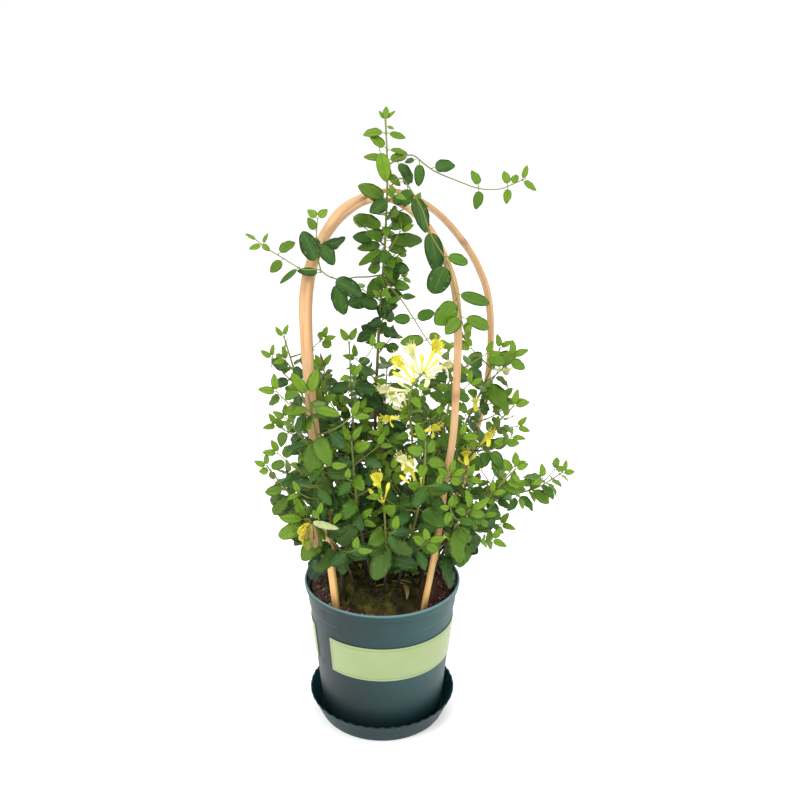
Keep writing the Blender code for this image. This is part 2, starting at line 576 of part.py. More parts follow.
def place_bloom(space, stems, owner, plan):
    """A bloom beside its stem, turned aside and lowered until it is clear of what is there."""
    name, distance, azimuth, rise, length, white = plan
    route = stems[name].main
    distance = min(distance, route.length - 1)
    for attempt, swing in enumerate((0, 12, -12, 25, -25, 40, -40, 60, -60)):
        toward = aim(azimuth + swing, rise - 4 * attempt)
        axis = route.heading(distance)
        level = unit(toward - axis * np.dot(toward, axis))
        root = route.at(distance) + level * (float(route.thick(distance)) + CLEAR) + 0.8 * (toward - level)
        bloom = Bloom(root + level * 0.75 * abs(np.dot(toward, axis)), toward, length, white)
        points = bloom.points()
        away = points[np.linalg.norm(points - root, axis=1) > 5]
        if space.free(away, owner):
            space.take(away, owner)
            return bloom
    return None


def grow():
    """All stems, leaves and blooms, in the order in which they take their room."""
    space = Space()
    owner = 1
    for hoop in HOOPS.values():
        centres, broad, flat, width = strip_frames(hoop, 2.0)
        skin = [centres + a * width[:, None] * broad + b * hoop["thick"] * flat
                for a in np.linspace(-0.5, 0.5, 8) for b in (-0.5, 0.0, 0.5)]
        space.take(np.vstack(skin), owner)
        owner += 1
    turn = np.linspace(0, 2 * math.pi, 400, endpoint=False)
    for height in np.arange(140, POT_TOP + 1.2, 1.2):
        for radius in np.arange(86, POT_RIM_RADIUS + 1, 1.5):
            level = np.full_like(turn, height)
            space.take(np.stack([radius * np.cos(turn), radius * np.sin(turn), level], axis=1), owner)
    owner += 1
    stems = {}
    for name, plan in STEMS.items():
        stems[name] = Stem(name, plan, owner)
        for route in stems[name].routes.values():
            space.take(tube_points(route), owner)
        owner += 1
    blooms = {}
    for name, plan in BLOOMS.items():
        blooms[name] = place_bloom(space, stems, owner, plan)
        owner += 1
    for stem in stems.values():
        for distance, azimuth, rise, length, width in stem.plan.get("leaves", []):
            place_leaf(space, stem, stem.main, distance, aim(azimuth, rise), length, width, True)
        for branch, own in stem.plan.get("branches", {}).items():
            for distance, azimuth, rise, length, width in own["leaves"]:
                toward = aim(azimuth, rise)
                place_leaf(space, stem, stem.routes[branch], distance, toward, length, width, True)
    for bloom in blooms.values():
        space.keep_open(np.vstack([spread(bloom.upper.triangles()), spread(bloom.lower.triangles())]))
    for stem in stems.values():
        for shoot in stem.plan["shoots"]:
            side_shoot(space, stem, *shoot)
    for stem in stems.values():
        plan = stem.plan
        last = plan.get("last", stem.main.length)
        leaf_pairs(space, stem, stem.main, plan["first"], last, plan["gap"], plan["leaf"], plan["turn"])
        if "last" not in plan:
            tip_leaves(space, stem, stem.main, plan["leaf"][1])
        for count, (route, size) in enumerate(stem.shoots):
            leaf_pairs(space, stem, route, 24, route.length, (24, 20), (size, 0.7 * size), 45 * count)
            tip_leaves(space, stem, route, 0.7 * size)
    return stems, blooms


# How the pieces become solids

def new_collection(name, parent):
    made = bpy.data.collections.new(name)
    parent.children.link(made)
    return made


def new_material(name, colour, roughness):
    made = bpy.data.materials.new(name)
    made.use_nodes = True
    made.diffuse_color = (*colour, 1.0)
    shader = made.node_tree.nodes["Principled BSDF"]
    shader.inputs["Base Color"].default_value = (*colour, 1.0)
    shader.inputs["Roughness"].default_value = roughness
    return made


def new_object(name, mesh, home):
    made = bpy.data.objects.new(name, mesh)
    home.objects.link(made)
    return made


def from_bmesh(name, shape, home):
    bmesh.ops.recalc_face_normals(shape, faces=shape.faces)
    mesh = bpy.data.meshes.new(name)
    shape.to_mesh(mesh)
    shape.free()
    return new_object(name, mesh, home)


def bake(piece):
    """Replace a piece's mesh with what its modifiers make of it."""
    depsgraph = bpy.context.evaluated_depsgraph_get()
    mesh = bpy.data.meshes.new_from_object(piece.evaluated_get(depsgraph))
    piece.modifiers.clear()
    spare, piece.data = piece.data, mesh
    bpy.data.meshes.remove(spare)
    mesh.name = piece.name


def lathe(name, profile, steps, home):
    """Turn a closed profile of radius and height about the Z axis."""
    mesh = bpy.data.meshes.new(name)
    edges = [(k, k + 1) for k in range(len(profile) - 1)]
    mesh.from_pydata([(radius * MM, 0, height * MM) for radius, height in profile], edges, [])
    piece = new_object(name, mesh, home)
    screw = piece.modifiers.new("Lathe", "SCREW")
    screw.steps = screw.render_steps = steps
    screw.use_merge_vertices = True
    screw.merge_threshold = 0.00001
    screw.use_smooth_shade = False
    bake(piece)
    shape = bmesh.new()
    shape.from_mesh(piece.data)
    bmesh.ops.remove_doubles(shape, verts=shape.verts, dist=0.000001)
    bmesh.ops.recalc_face_normals(shape, faces=shape.faces)
    shape.to_mesh(piece.data)
    shape.free()
    return piece


def tube(name, route, home):
    """A four-sided stem along its route."""
    curve = bpy.data.curves.new(name, "CURVE")
    curve.dimensions = "3D"
    curve.bevel_depth = MM
    curve.bevel_resolution = 0
    curve.use_fill_caps = True
    line = curve.splines.new("POLY")
    line.points.add(len(route.points) - 1)
    for knot, place, thick in zip(line.points, route.points, route.thick(route.along)):
        knot.co = (*(place * MM), 1.0)
        knot.radius = thick
    holder = new_object(name, curve, home)
    depsgraph = bpy.context.evaluated_depsgraph_get()
    mesh = bpy.data.meshes.new_from_object(holder.evaluated_get(depsgraph))
    bpy.data.objects.remove(holder)
    bpy.data.curves.remove(curve)
    shape = bmesh.new()
    shape.from_mesh(mesh)
    bpy.data.meshes.remove(mesh)
    bmesh.ops.remove_doubles(shape, verts=shape.verts, dist=0.000001)
    return from_bmesh(name, shape, home)


def blade(name, leaf, home):
    """The leaf's flat triangles, thickened to both sides."""
    shape = bmesh.new()
    for triangle in leaf.triangles():
        shape.faces.new([shape.verts.new(corner * MM) for corner in triangle])
    bmesh.ops.remove_doubles(shape, verts=shape.verts, dist=0.000001)
    piece = from_bmesh(name, shape, home)
    skin = piece.modifiers.new("Thickness", "SOLIDIFY")
    skin.thickness = BLADE_THICK * MM
    skin.offset = 0.0
    return piece


def unite(base, extras):
    """Join the extras to the base with one union, and keep only the body that holds the base's foot."""
    union = base.modifiers.new("Union", "BOOLEAN")
    union.operation = "UNION"
    union.operand_type = "COLLECTION"
    union.collection = extras
    union.solver = "MANIFOLD"
    bake(base)
    for extra in list(extras.objects):
        bpy.data.objects.remove(extra)
    shape = bmesh.new()
    shape.from_mesh(base.data)
    unseen = set(shape.verts)
    bodies = []
    while unseen:
        body, edge = set(), [unseen.pop()]
        while edge:
            vertex = edge.pop()
            body.add(vertex)
            linked = {link.other_vert(vertex) for link in vertex.link_edges} & unseen
            unseen -= linked
            edge.extend(linked)
        bodies.append(body)
    bodies.sort(key=len)
    for scrap in bodies[:-1]:
        bmesh.ops.delete(shape, geom=list(scrap), context="VERTS")
    bmesh.ops.dissolve_limit(shape, angle_limit=FLAT, verts=shape.verts, edges=shape.edges)
    shape.to_mesh(base.data)
    shape.free()


def prism(name, ring, foot, top, home):
    """A straight bar between two centres with the ring of offsets as its section."""
    shape = bmesh.new()
    low = [shape.verts.new((foot + offset) * MM) for offset in ring]
    high = [shape.verts.new((top + offset) * MM) for offset in ring]
    shape.faces.new(low)
    shape.faces.new(high)
    for k in range(len(ring)):
        shape.faces.new((low[k - 1], low[k], high[k], high[k - 1]))
    return from_bmesh(name, shape, home)


def cut(piece, cutters):
    trim = piece.modifiers.new("Holes", "BOOLEAN")
    trim.operation = "DIFFERENCE"
    trim.operand_type = "COLLECTION"
    trim.collection = cutters
    for cutter in cutters.objects:
        cutter.hide_render = True
        cutter.display_type = "WIRE"


# The pot, its saucer, labels and soil

def wall_radius(height):
    """Outside of the pot's tapered wall."""
    return 72.7 + (height - 10.0) * (87.4 - 72.7) / 155.0


def make_pot(home, drains):
    inner = [(wall_radius(height) - POT_WALL, height) for height in (164.0, POT_FLOOR)]
    profile = [(0, POT_FOOT + 1.6), (57, POT_FOOT + 1.6), (59, POT_FOOT), (70.4, POT_FOOT),
               (wall_radius(5.2), 5.2), (wall_radius(146), 146), (wall_radius(147.2) + 1, 147.2),
               (wall_radius(165) + 1, 165), (POT_RIM_RADIUS - 1.4, 166.4), (POT_RIM_RADIUS, 173.6),
               (POT_RIM_RADIUS - 0.9, POT_TOP), (POT_RIM_RADIUS - 2.6, POT_TOP),
               (POT_RIM_RADIUS - 3.4, 167.2)] + inner + [(0, POT_FLOOR)]
    pot = lathe("pot", profile, FACETS, home)
    for k in range(DRAIN_HOLES):
        centre = DRAIN_CIRCLE * aim(45 + 360 * k / DRAIN_HOLES, 0)
        ring = [DRAIN_RADIUS * aim(22.5 + 45 * side, 0) for side in range(8)]
        prism("pot_drain", ring, centre, centre + (POT_FLOOR + 3) * UP, drains)
    cut(pot, drains)
    return pot


def make_saucer(home):
    """Turned dish whose top edge is then split and waved, one wave a facet."""
    profile = [(0, 0), (SAUCER_BASE_RADIUS - 1, 0), (SAUCER_BASE_RADIUS + 0.3, 1.4),
               (SAUCER_RIM_RADIUS, SAUCER_HEIGHT), (SAUCER_RIM_RADIUS - SAUCER_WALL, SAUCER_HEIGHT + 0.1),
               (SAUCER_BASE_RADIUS - SAUCER_WALL + 1.6, 5.0),
               (SAUCER_BASE_RADIUS - SAUCER_WALL - 0.6, SAUCER_FLOOR), (0, SAUCER_FLOOR)]
    saucer = lathe("saucer", profile, SCALLOPS, home)
    shape = bmesh.new()
    shape.from_mesh(saucer.data)
    brim = [edge for edge in shape.edges
            if all(vertex.co.z > (SAUCER_HEIGHT - 0.5) * MM for vertex in edge.verts)
            and abs(edge.verts[0].co.xy.length - edge.verts[1].co.xy.length) < 0.0001]
    split = bmesh.ops.subdivide_edges(shape, edges=brim, cuts=1)["geom_inner"]
    for vertex in (item for item in split if isinstance(item, bmesh.types.BMVert)):
        vertex.co.z -= SCALLOP_DEPTH * MM
        vertex.co.xy *= 1 - 0.0075 * SCALLOP_DEPTH
    bmesh.ops.triangulate(shape, faces=[face for face in shape.faces if len(face.verts) > 4])
    shape.to_mesh(saucer.data)
    shape.free()
    return saucer


def make_label(name, home):
    """A plate bent round the wall, as a solid grid of one layer on the pot's own facets."""
    shape = bmesh.new()
    grid = []
    for k in range(LABEL_FACETS + 1):
        way = aim(LABEL_STARTS[name] + 360 * k / FACETS, 0)
        grid.append([shape.verts.new(((wall_radius(height) + CLEAR + lift) * way + height * UP) * MM)
                     for height, lift in ((LABEL_LOW, 0), (LABEL_HIGH, 0), (LABEL_HIGH, LABEL_THICK),
                                          (LABEL_LOW, LABEL_THICK))])
    shape.faces.new(grid[0])
    shape.faces.new(grid[-1])
    for here, there in zip(grid, grid[1:]):
        for k in range(4):
            shape.faces.new((here[k - 1], here[k], there[k], there[k - 1]))
    return from_bmesh(name, shape, home)


def soil_height(x, y):
    """Root ball with soft edges, on a bed that is higher at the left, both with a crumbly surface."""
    reach = math.hypot(x - BALL_CENTRE[0], y - BALL_CENTRE[1])
    rise = 1 / (1 + math.exp((reach - BALL_RADIUS) / 2.5))
    bed = BED_LEVEL - 0.03 * x
    crumbs = 0.7 * math.sin(0.31 * x + 1.1) * math.sin(0.37 * y) + 0.5 * math.sin(0.83 * x - 0.6 * y)
    return bed + (BALL_TOP - 1.2 * (reach / BALL_RADIUS) ** 2 - bed) * rise + crumbs


def make_soil(home, holes, stems):
    """A plug that fills the pot: a disc of rings for the top, a tapered side and a flat base."""
    shape = bmesh.new()
    gap = POT_WALL + 2 * CLEAR + 0.2

    def ring(radius, height):
        made = []
        for k in range(SOIL_FACETS):
            x, y, z = radius * aim(360 * k / SOIL_FACETS, 0)
            made.append(shape.verts.new((x * MM, y * MM, (height or soil_height(x, y)) * MM)))
        return made

    rings = [ring(radius, None) for radius in SOIL_RINGS]
    rings.append(ring(wall_radius(156) - gap, None))
    rings.append(ring(wall_radius(POT_FLOOR + CLEAR) - gap, POT_FLOOR + CLEAR))
    for inside, outside in zip(rings, rings[1:]):
        for k in range(SOIL_FACETS):
            shape.faces.new((inside[k - 1], outside[k - 1], outside[k], inside[k]))
    middle = shape.verts.new((0, 0, soil_height(0, 0) * MM))
    for k in range(SOIL_FACETS):
        shape.faces.new((middle, rings[0][k - 1], rings[0][k]))
    shape.faces.new(rings[-1])
    bmesh.ops.triangulate(shape, faces=[face for face in shape.faces if len(face.verts) == 4])
    soil = from_bmesh("soil", shape, home)
    for stem in stems.values():
        foot, next_up = stem.main.points[:2]
        run = unit(next_up - foot)
        across = unit(np.cross(run, (0, 1, 0)))
        reach = stem.main.radius[0] + HOLE_CLEAR
        up = np.cross(run, across)
        ring = [reach * (math.cos(turn) * across + math.sin(turn) * up) for turn in np.arange(6) * math.pi / 3]
        prism("hole_" + stem.name, ring, foot - HOLE_SPARE * run, foot + HOLE_REACH * run, holes)
    for name, hoop in HOOPS.items():
        centres, broad, flat, width = strip_frames(hoop, STEM_STEP)
        for end, inner in ((0, 1), (-1, -2)):
            run = unit(centres[inner] - centres[end])
            a = (0.5 * width[end] + HOLE_CLEAR) * broad[end]
            b = (0.5 * hoop["thick"] + HOLE_CLEAR) * flat[end]
            prism("hole_" + name, [a + b, b - a, -a - b, a - b], centres[end] - HOLE_SPARE * run,
                  centres[end] + HOLE_REACH * run, holes)
    cut(soil, holes)
    return soil


def make_hoop(name, home):
    """A flat strip carried along its route, section by section."""
    hoop = HOOPS[name]
    centres, broad, flat, width = strip_frames(hoop, STEM_STEP)
    a = 0.5 * width[:, None] * broad
    b = 0.5 * hoop["thick"] * flat
    corners = np.stack([centres + a + b, centres - a + b, centres - a - b, centres + a - b], axis=1)
    shape = bmesh.new()
    sections = [[shape.verts.new(corner * MM) for corner in section] for section in corners]
    shape.faces.new(sections[0])
    shape.faces.new(sections[-1])
    for here, there in zip(sections, sections[1:]):
        for k in range(4):
            shape.faces.new((here[k - 1], here[k], there[k], there[k - 1]))
    bmesh.ops.triangulate(shape, faces=shape.faces)
    return from_bmesh(name, shape, home)


def make_stem(stem, home, extras):
    """A stem with its branches, shoots and leaves, as one body."""
    main = tube(stem.name, stem.main, home)
    for route in list(stem.routes.values())[1:] + [route for route, size in stem.shoots]:
        tube("branch", route, extras)
    for leaf in stem.leaves:
        blade("leaf", leaf, extras)
    unite(main, extras)
    return main


def make_bloom(name, bloom, home, extras):
    base = tube(name, bloom.tube, home)
    blade("lip", bloom.upper, extras)
    blade("lip", bloom.lower, extras)
    tube("style", bloom.style, extras)
    unite(base, extras)
    return base


def main():
    for old in list(bpy.data.objects):
        bpy.data.objects.remove(old)
    scene = bpy.context.scene.collection
    home = new_collection("Potted honeysuckle", scene)
    cutters = new_collection("Cutters", scene)
    drains = new_collection("Drain cutters", cutters)
    holes = new_collection("Soil cutters", cutters)
    extras = new_collection("Joined", scene)

    teal = new_material("Pot plastic", (0.05, 0.09, 0.10), 0.45)
    dish = new_material("Saucer plastic", (0.05, 0.09, 0.10), 0.5)
    lime = new_material("Label", (0.60, 0.71, 0.30), 0.5)
    earth = new_material("Potting soil", (0.04, 0.03, 0.02), 0.95)
    cane = new_material("Bamboo", (0.74, 0.49, 0.25), 0.55)
    green = new_material("Foliage", (0.08, 0.20, 0.03), 0.5)
    white = new_material("Fresh petal", (0.85, 0.82, 0.62), 0.5)
    gold = new_material("Aged petal", (0.85, 0.62, 0.16), 0.5)

    stems, blooms = grow()
    make_pot(home, drains).data.materials.append(teal)
    make_saucer(home).data.materials.append(dish)
    for name in LABEL_STARTS:
        make_label(name, home).data.materials.append(lime)
    make_soil(home, holes, stems).data.materials.append(earth)
    for name in HOOPS:
        make_hoop(name, home).data.materials.append(cane)
    for stem in stems.values():
        make_stem(stem, home, extras).data.materials.append(green)
    for name, bloom in blooms.items():
        make_bloom(name, bloom, home, extras).data.materials.append(white if bloom.white else gold)
    bpy.data.collections.remove(extras)


main()
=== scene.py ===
"""Potted honeysuckle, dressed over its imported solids.

The sections follow the real thing as it is put together: saucer, pot, labels, soil, bamboo hoops,
leafy stems, blooms, and what lies on the soil. Sizes are millimetres until a mesh is made.
"""
import json
import math

import bpy
import numpy as np
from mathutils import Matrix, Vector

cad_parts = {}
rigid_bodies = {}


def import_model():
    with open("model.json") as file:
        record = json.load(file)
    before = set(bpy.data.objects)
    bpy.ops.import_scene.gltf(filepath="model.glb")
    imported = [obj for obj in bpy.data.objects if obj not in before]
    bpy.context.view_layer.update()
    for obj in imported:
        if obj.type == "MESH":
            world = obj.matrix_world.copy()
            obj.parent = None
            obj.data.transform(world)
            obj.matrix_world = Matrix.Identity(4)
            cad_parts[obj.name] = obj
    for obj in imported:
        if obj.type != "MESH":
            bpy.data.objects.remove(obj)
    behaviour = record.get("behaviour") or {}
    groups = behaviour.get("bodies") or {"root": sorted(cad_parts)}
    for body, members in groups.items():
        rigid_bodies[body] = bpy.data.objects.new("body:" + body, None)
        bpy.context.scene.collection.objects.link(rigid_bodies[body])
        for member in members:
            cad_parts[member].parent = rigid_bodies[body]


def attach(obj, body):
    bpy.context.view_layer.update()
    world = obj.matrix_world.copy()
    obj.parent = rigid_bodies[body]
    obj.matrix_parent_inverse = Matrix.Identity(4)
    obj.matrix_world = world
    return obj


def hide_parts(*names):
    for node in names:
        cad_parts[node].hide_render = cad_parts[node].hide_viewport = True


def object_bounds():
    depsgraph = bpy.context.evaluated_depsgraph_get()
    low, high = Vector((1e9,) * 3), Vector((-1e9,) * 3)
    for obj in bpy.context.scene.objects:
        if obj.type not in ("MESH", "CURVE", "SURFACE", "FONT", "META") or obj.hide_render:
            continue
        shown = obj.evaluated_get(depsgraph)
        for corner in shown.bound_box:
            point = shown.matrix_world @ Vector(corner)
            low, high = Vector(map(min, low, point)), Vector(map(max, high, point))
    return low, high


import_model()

solid_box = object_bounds()
MM = 0.001

# View and light: a lens of 24 degrees to each side, 0.95 m in front and 0.70 m up, looking 18 degrees
# down. A wide soft light stands over each shoulder, a weaker one behind, and the room is pale.
SENSOR, FOCAL_PIXELS, PICTURE_PIXELS = 36.0, 896, 800
eye = bpy.data.cameras.new("camera")
eye.sensor_width = SENSOR
eye.lens = SENSOR * FOCAL_PIXELS / PICTURE_PIXELS
eye.shift_x = 17.9 / PICTURE_PIXELS
viewer = bpy.data.objects.new("camera", eye)
viewer.location = (0, -0.947, 0.697)
viewer.rotation_euler = (math.radians(90 - 17.8), 0, 0)
bpy.context.scene.collection.objects.link(viewer)
bpy.context.scene.camera = viewer

LAMPS = {"key_light": ((-0.9, -1.3, 1.8), 0.9, 26),
         "fill_light": ((1.4, -0.8, 1.2), 1.4, 9),
         "back_light": ((0.4, 1.5, 1.7), 1.4, 16)}
AIMED_AT = np.array([0.0, 0.0, 0.35])
for title, (place, size, watts) in LAMPS.items():
    lamp = bpy.data.lights.new(title, "AREA")
    lamp.shape = "DISK"
    lamp.size = size
    lamp.energy = watts
    holder = bpy.data.objects.new(title, lamp)
    holder.location = place
    facing = AIMED_AT - place
    holder.rotation_euler = (math.acos(-facing[2] / np.linalg.norm(facing)), 0,
                             math.atan2(facing[1], facing[0]) - math.pi / 2)
    bpy.context.scene.collection.objects.link(holder)

room = bpy.data.worlds.new("room")
room.use_nodes = True
room.node_tree.nodes["Background"].inputs["Color"].default_value = (1.0, 1.0, 1.0, 1.0)
room.node_tree.nodes["Background"].inputs["Strength"].default_value = 1.03
bpy.context.scene.world = room
bpy.context.scene.view_settings.view_transform = "Standard"

# Saucer. Thin moulded dish of slate-teal plastic under the pot. Its wall flares, and the brim is
# pressed into small waves. It is turned from a profile, and the waves fade down the wall.


class Wire:
    """An output in a material. Sums, products and so on of wires and numbers add Math nodes."""

    def __init__(self, finish, socket):
        self.finish, self.socket = finish, socket

    def __add__(self, other):
        return self.finish.maths("ADD", self, other)

    def __sub__(self, other):
        return self.finish.maths("SUBTRACT", self, other)

    def __rsub__(self, other):
        return self.finish.maths("SUBTRACT", other, self)

    def __mul__(self, other):
        return self.finish.maths("MULTIPLY", self, other)

    def __pow__(self, other):
        return self.finish.maths("POWER", self, other)

    def __abs__(self):
        return self.finish.maths("ABSOLUTE", self)

    __radd__, __rmul__ = __add__, __mul__

    def between(self, low, high):
        """0 below low, 1 above high, straight in between."""
        return self.finish.node("ShaderNodeMapRange", {"clamp": True}, "Result", Value=self,
                                **{"From Min": low, "From Max": high})


class Finish:
    """A surface finish: a material whose nodes are added by node() and whose shader is set by surface()."""

    def __init__(self, title):
        self.material = bpy.data.materials.new(title)
        self.material.use_nodes = True
        self.tree = self.material.node_tree
        self.shader = self.tree.nodes["Principled BSDF"]

    def feed(self, socket, value):
        if isinstance(value, Wire):
            self.tree.links.new(value.socket, socket)
        elif isinstance(value, tuple) and len(value) == 3 and socket.type == "RGBA":
            socket.default_value = (*value, 1.0)
        else:
            socket.default_value = value

    def node(self, kind, settings, output, **values):
        made = self.tree.nodes.new(kind)
        for key, value in settings.items():
            setattr(made, key, value)
        for key, value in values.items():
            self.feed(made.inputs[key], value)
        return Wire(self, made.outputs[output])

    def maths(self, operation, *values):
        made = self.tree.nodes.new("ShaderNodeMath")
        made.operation = operation
        for socket, value in zip(made.inputs, values):
            self.feed(socket, value)
        return Wire(self, made.outputs[0])

    def mix(self, share, first, second):
        """Colour between the first, at share 0, and the second, at share 1."""
        made = self.tree.nodes.new("ShaderNodeMix")
        made.data_type = "RGBA"
        for k, value in ((0, share), (6, first), (7, second)):
            self.feed(made.inputs[k], value)
        return Wire(self, made.outputs[2])

    def place(self):
        return self.node("ShaderNodeTexCoord", {}, "Object")

    def part(self, axis, vector=None):
        """One part of a vector, or of the place in metres: X to the right, Y to the back, Z up."""
        return self.node("ShaderNodeSeparateXYZ", {}, axis, Vector=vector or self.place())

    def chart(self):
        """The place on the mesh's own map."""
        return self.node("ShaderNodeUVMap", {}, "UV")

    def noise(self, scale, detail=3.0, rough=0.55, vector=None):
        return self.node("ShaderNodeTexNoise", {}, "Fac", Vector=vector or self.place(), Scale=scale,
                         Detail=detail, Roughness=rough)

    def grain(self, scales, detail, rough=0.5, vector=None):
        """Noise drawn out, with a scale of its own along each axis."""
        drawn_out = self.node("ShaderNodeMapping", {}, "Vector", Vector=vector or self.place(), Scale=scales)
        return self.noise(1.0, detail, rough, drawn_out)

    def read(self, name):
        """A number that the mesh carries at each point."""
        return self.node("ShaderNodeAttribute", {"attribute_name": name}, "Fac")

    def bump(self, height, depth):
        """Normal of a relief whose height runs from 0 to 1 over that depth in metres."""
        return self.node("ShaderNodeBump", {}, "Normal", Height=height, Distance=depth)

    def surface(self, **values):
        for key, value in values.items():
            self.feed(self.shader.inputs[key.replace("_", " ")], value)
        return self.material


def grid_faces(rows, columns, wrap):
    """Squares of a grid of points that is closed round its rows when wrap is true."""
    row, column = np.meshgrid(np.arange(rows - 1), np.arange(columns if wrap else columns - 1), indexing="ij")
    after = (column + 1) % columns
    squares = [row * columns + column, row * columns + after, (row + 1) * columns + after,
               (row + 1) * columns + column]
    return np.stack(squares, axis=-1).reshape(-1, 4)


def ring_faces(rows, columns):
    """Faces of a stack of rings that is closed by a point before the first ring and one past the last.

    The rings' points are numbered row by row, and the two end points come after them.
    """
    here = np.arange(columns)
    after = (here + 1) % columns
    last = (rows - 1) * columns
    start_fan = np.stack([np.full(columns, rows * columns), after, here], axis=1)
    end_fan = np.stack([np.full(columns, rows * columns + 1), last + here, last + after], axis=1)
    return grid_faces(rows, columns, True).tolist() + start_fan.tolist() + end_fan.tolist()


def new_piece(title, points, faces, finish, nodes):
    """A smooth mesh from points in millimetres that rides on the model and stands for its solids."""
    mesh = bpy.data.meshes.new(title)
    mesh.from_pydata((points * MM).tolist(), [], [list(face) for face in faces])
    mesh.shade_smooth()
    mesh.materials.append(finish)
    piece = bpy.data.objects.new(title, mesh)
    bpy.context.scene.collection.objects.link(piece)
    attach(piece, "root")
    if nodes:
        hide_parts(*nodes)
    return piece


def rounded(profile, radii, steps=4):
    """The profile with each corner replaced by a curve that starts and ends a radius away from it."""
    profile = np.asarray(profile, float)
    path = [profile[0]]
    for before, corner, after, radius in zip(profile, profile[1:], profile[2:], radii[1:]):
        if radius == 0:
            path.append(corner)
            continue
        to_before, to_after = before - corner, after - corner
        start = corner + to_before / np.linalg.norm(to_before) * min(radius, 0.45 * np.linalg.norm(to_before))
        end = corner + to_after / np.linalg.norm(to_after) * min(radius, 0.45 * np.linalg.norm(to_after))
        for share in np.linspace(0, 1, steps + 1):
            path.append((1 - share)**2 * start + 2 * share * (1 - share) * corner + share**2 * end)
    return np.array(path + [profile[-1]])


def turned(profile, turns, lift=None):
    """Points and faces of a profile of radius and height carried round the Z axis.

    The profile starts and ends on the axis, where its ends become one point each. lift is a function
    of the height and the angle, and is added to the height.
    """
    angle = np.arange(turns) * 2 * math.pi / turns
    radius, height = profile[1:-1, 0][:, None], profile[1:-1, 1][:, None]
    rise = height + (lift(height, angle) if lift else 0 * angle)
    ring = np.stack([radius * np.cos(angle), radius * np.sin(angle), rise], axis=-1).reshape(-1, 3)
    points = np.vstack([ring, [[0, 0, profile[0, 1]], [0, 0, profile[-1, 1]]]])
    return points, ring_faces(len(profile) - 2, turns)


SCALLOPS = 44
BRIM = 28.0
WAVE_DEPTH, WAVE_REACH = 1.5, 7.5


def waves(height, angle):
    """Dips in height: a cosine of the angle that grows with the square of the height up to the brim."""
    share = np.clip((height - BRIM + WAVE_REACH) / WAVE_REACH, 0, 1)**2
    return share * 0.5 * WAVE_DEPTH * (np.cos(SCALLOPS * angle) - 1)


outline = [(0, 0), (74.5, 0), (75.9, 1.2), (87.9, BRIM), (86.1, BRIM), (75.2, 5.2), (72.6, 2.8), (0, 2.8)]
dish = rounded(outline, [0, 0.8, 2.0, 0.9, 0.9, 4.0, 2.0, 0])
steps = np.linspace(0, 1, 7)[1:-1, None]
brim = int(np.argmax(dish[:, 1] > BRIM - 1))
dish = np.vstack([dish[:brim], dish[brim - 1] + (dish[brim] - dish[brim - 1]) * steps, dish[brim:]])
plastic = Finish("saucer_plastic")
grime = plastic.noise(38.0, 4.0) * plastic.noise(210.0, 2.0)
water_line = plastic.part("Z").between(0.012, 0.004)
tint = plastic.mix(plastic.noise(9.0), (0.008, 0.026, 0.031), (0.011, 0.034, 0.039))
tint = plastic.mix((grime.between(0.26, 0.42) * 0.25 + water_line * 0.10), tint, (0.085, 0.100, 0.095))
# The inside of the dish lies nearer to the axis than the slanting wall does at the same height. Its own bluer
# teal there is painted light and shade inside the dish.
from_axis = (plastic.part("X")**2 + plastic.part("Y")**2)**0.5
dish_inside_painted_light = (plastic.part("Z") * 0.4465 - from_axis).between(-0.0747, -0.0741)
tint = plastic.mix(dish_inside_painted_light * 0.6, tint, (0.006, 0.048, 0.064))
satin = plastic.surface(Base_Color=tint, Roughness=0.36 + 0.25 * grime, Specular_IOR_Level=0.12,
                        Normal=plastic.bump(plastic.noise(900.0, 2.0), 0.00012))
points, faces = turned(dish, SCALLOPS * 8, waves)
new_piece("saucer_dish", points, faces, satin, ["saucer"])


# Pot. One thin moulded shell of the same plastic: a foot ring, a plain taper, a step for stacking
# near the top and a lip that turns out, with a painted highlight along its edge. Painted shade darkens the
# lower wall and the left side. It is turned from a profile.

WALL = 2.2
STACKING_STEP = 1.0


def wall_radius(height):
    """Outside of the pot's tapered wall."""
    return 72.7 + (height - 10.0) * (87.4 - 72.7) / 155.0


outline = [(0, 4.7), (57, 4.7), (59, 3.1), (70.4, 3.1), (wall_radius(5.2), 5.2), (wall_radius(146), 146),
           (wall_radius(147.4) + STACKING_STEP, 147.4), (wall_radius(164.8) + STACKING_STEP, 164.8),
           (90.6, 166.2), (91.9, 173.4), (91.2, 175.0), (89.4, 175.0), (88.6, 167.2),
           (wall_radius(164) - WALL, 164.0), (wall_radius(7) - WALL, 7.0), (0, 7.0)]
shell = rounded(outline, [0, 0.6, 0.6, 0.8, 1.6, 0.9, 1.2, 1.0, 1.2, 1.0, 0.8, 0.9, 2.0, 1.5, 2.0, 0])
plastic = Finish("pot_plastic")
height = plastic.part("Z")
swirl = plastic.noise(7.0, 3.0)
tint = plastic.mix(swirl.between(0.35, 0.65), (0.018, 0.058, 0.060), (0.026, 0.075, 0.077))
dust = plastic.noise(60.0, 5.0, 0.7).between(0.52, 0.78)
tint = plastic.mix(dust * 0.14, tint, (0.12, 0.14, 0.13))
# Painted highlight: a pale teal band round the top of the lip.
edge = height.between(0.1722, 0.1748)
tint = plastic.mix(edge * 0.7, tint, (0.17, 0.33, 0.33))
scratch = plastic.grain((90.0, 90.0, 5.4), 2.0)
# Painted shade: the wall darkens towards the bottom, above the saucer.
tint = plastic.mix(height.between(0.090, 0.015) * 0.80, tint, (0.003, 0.009, 0.013))
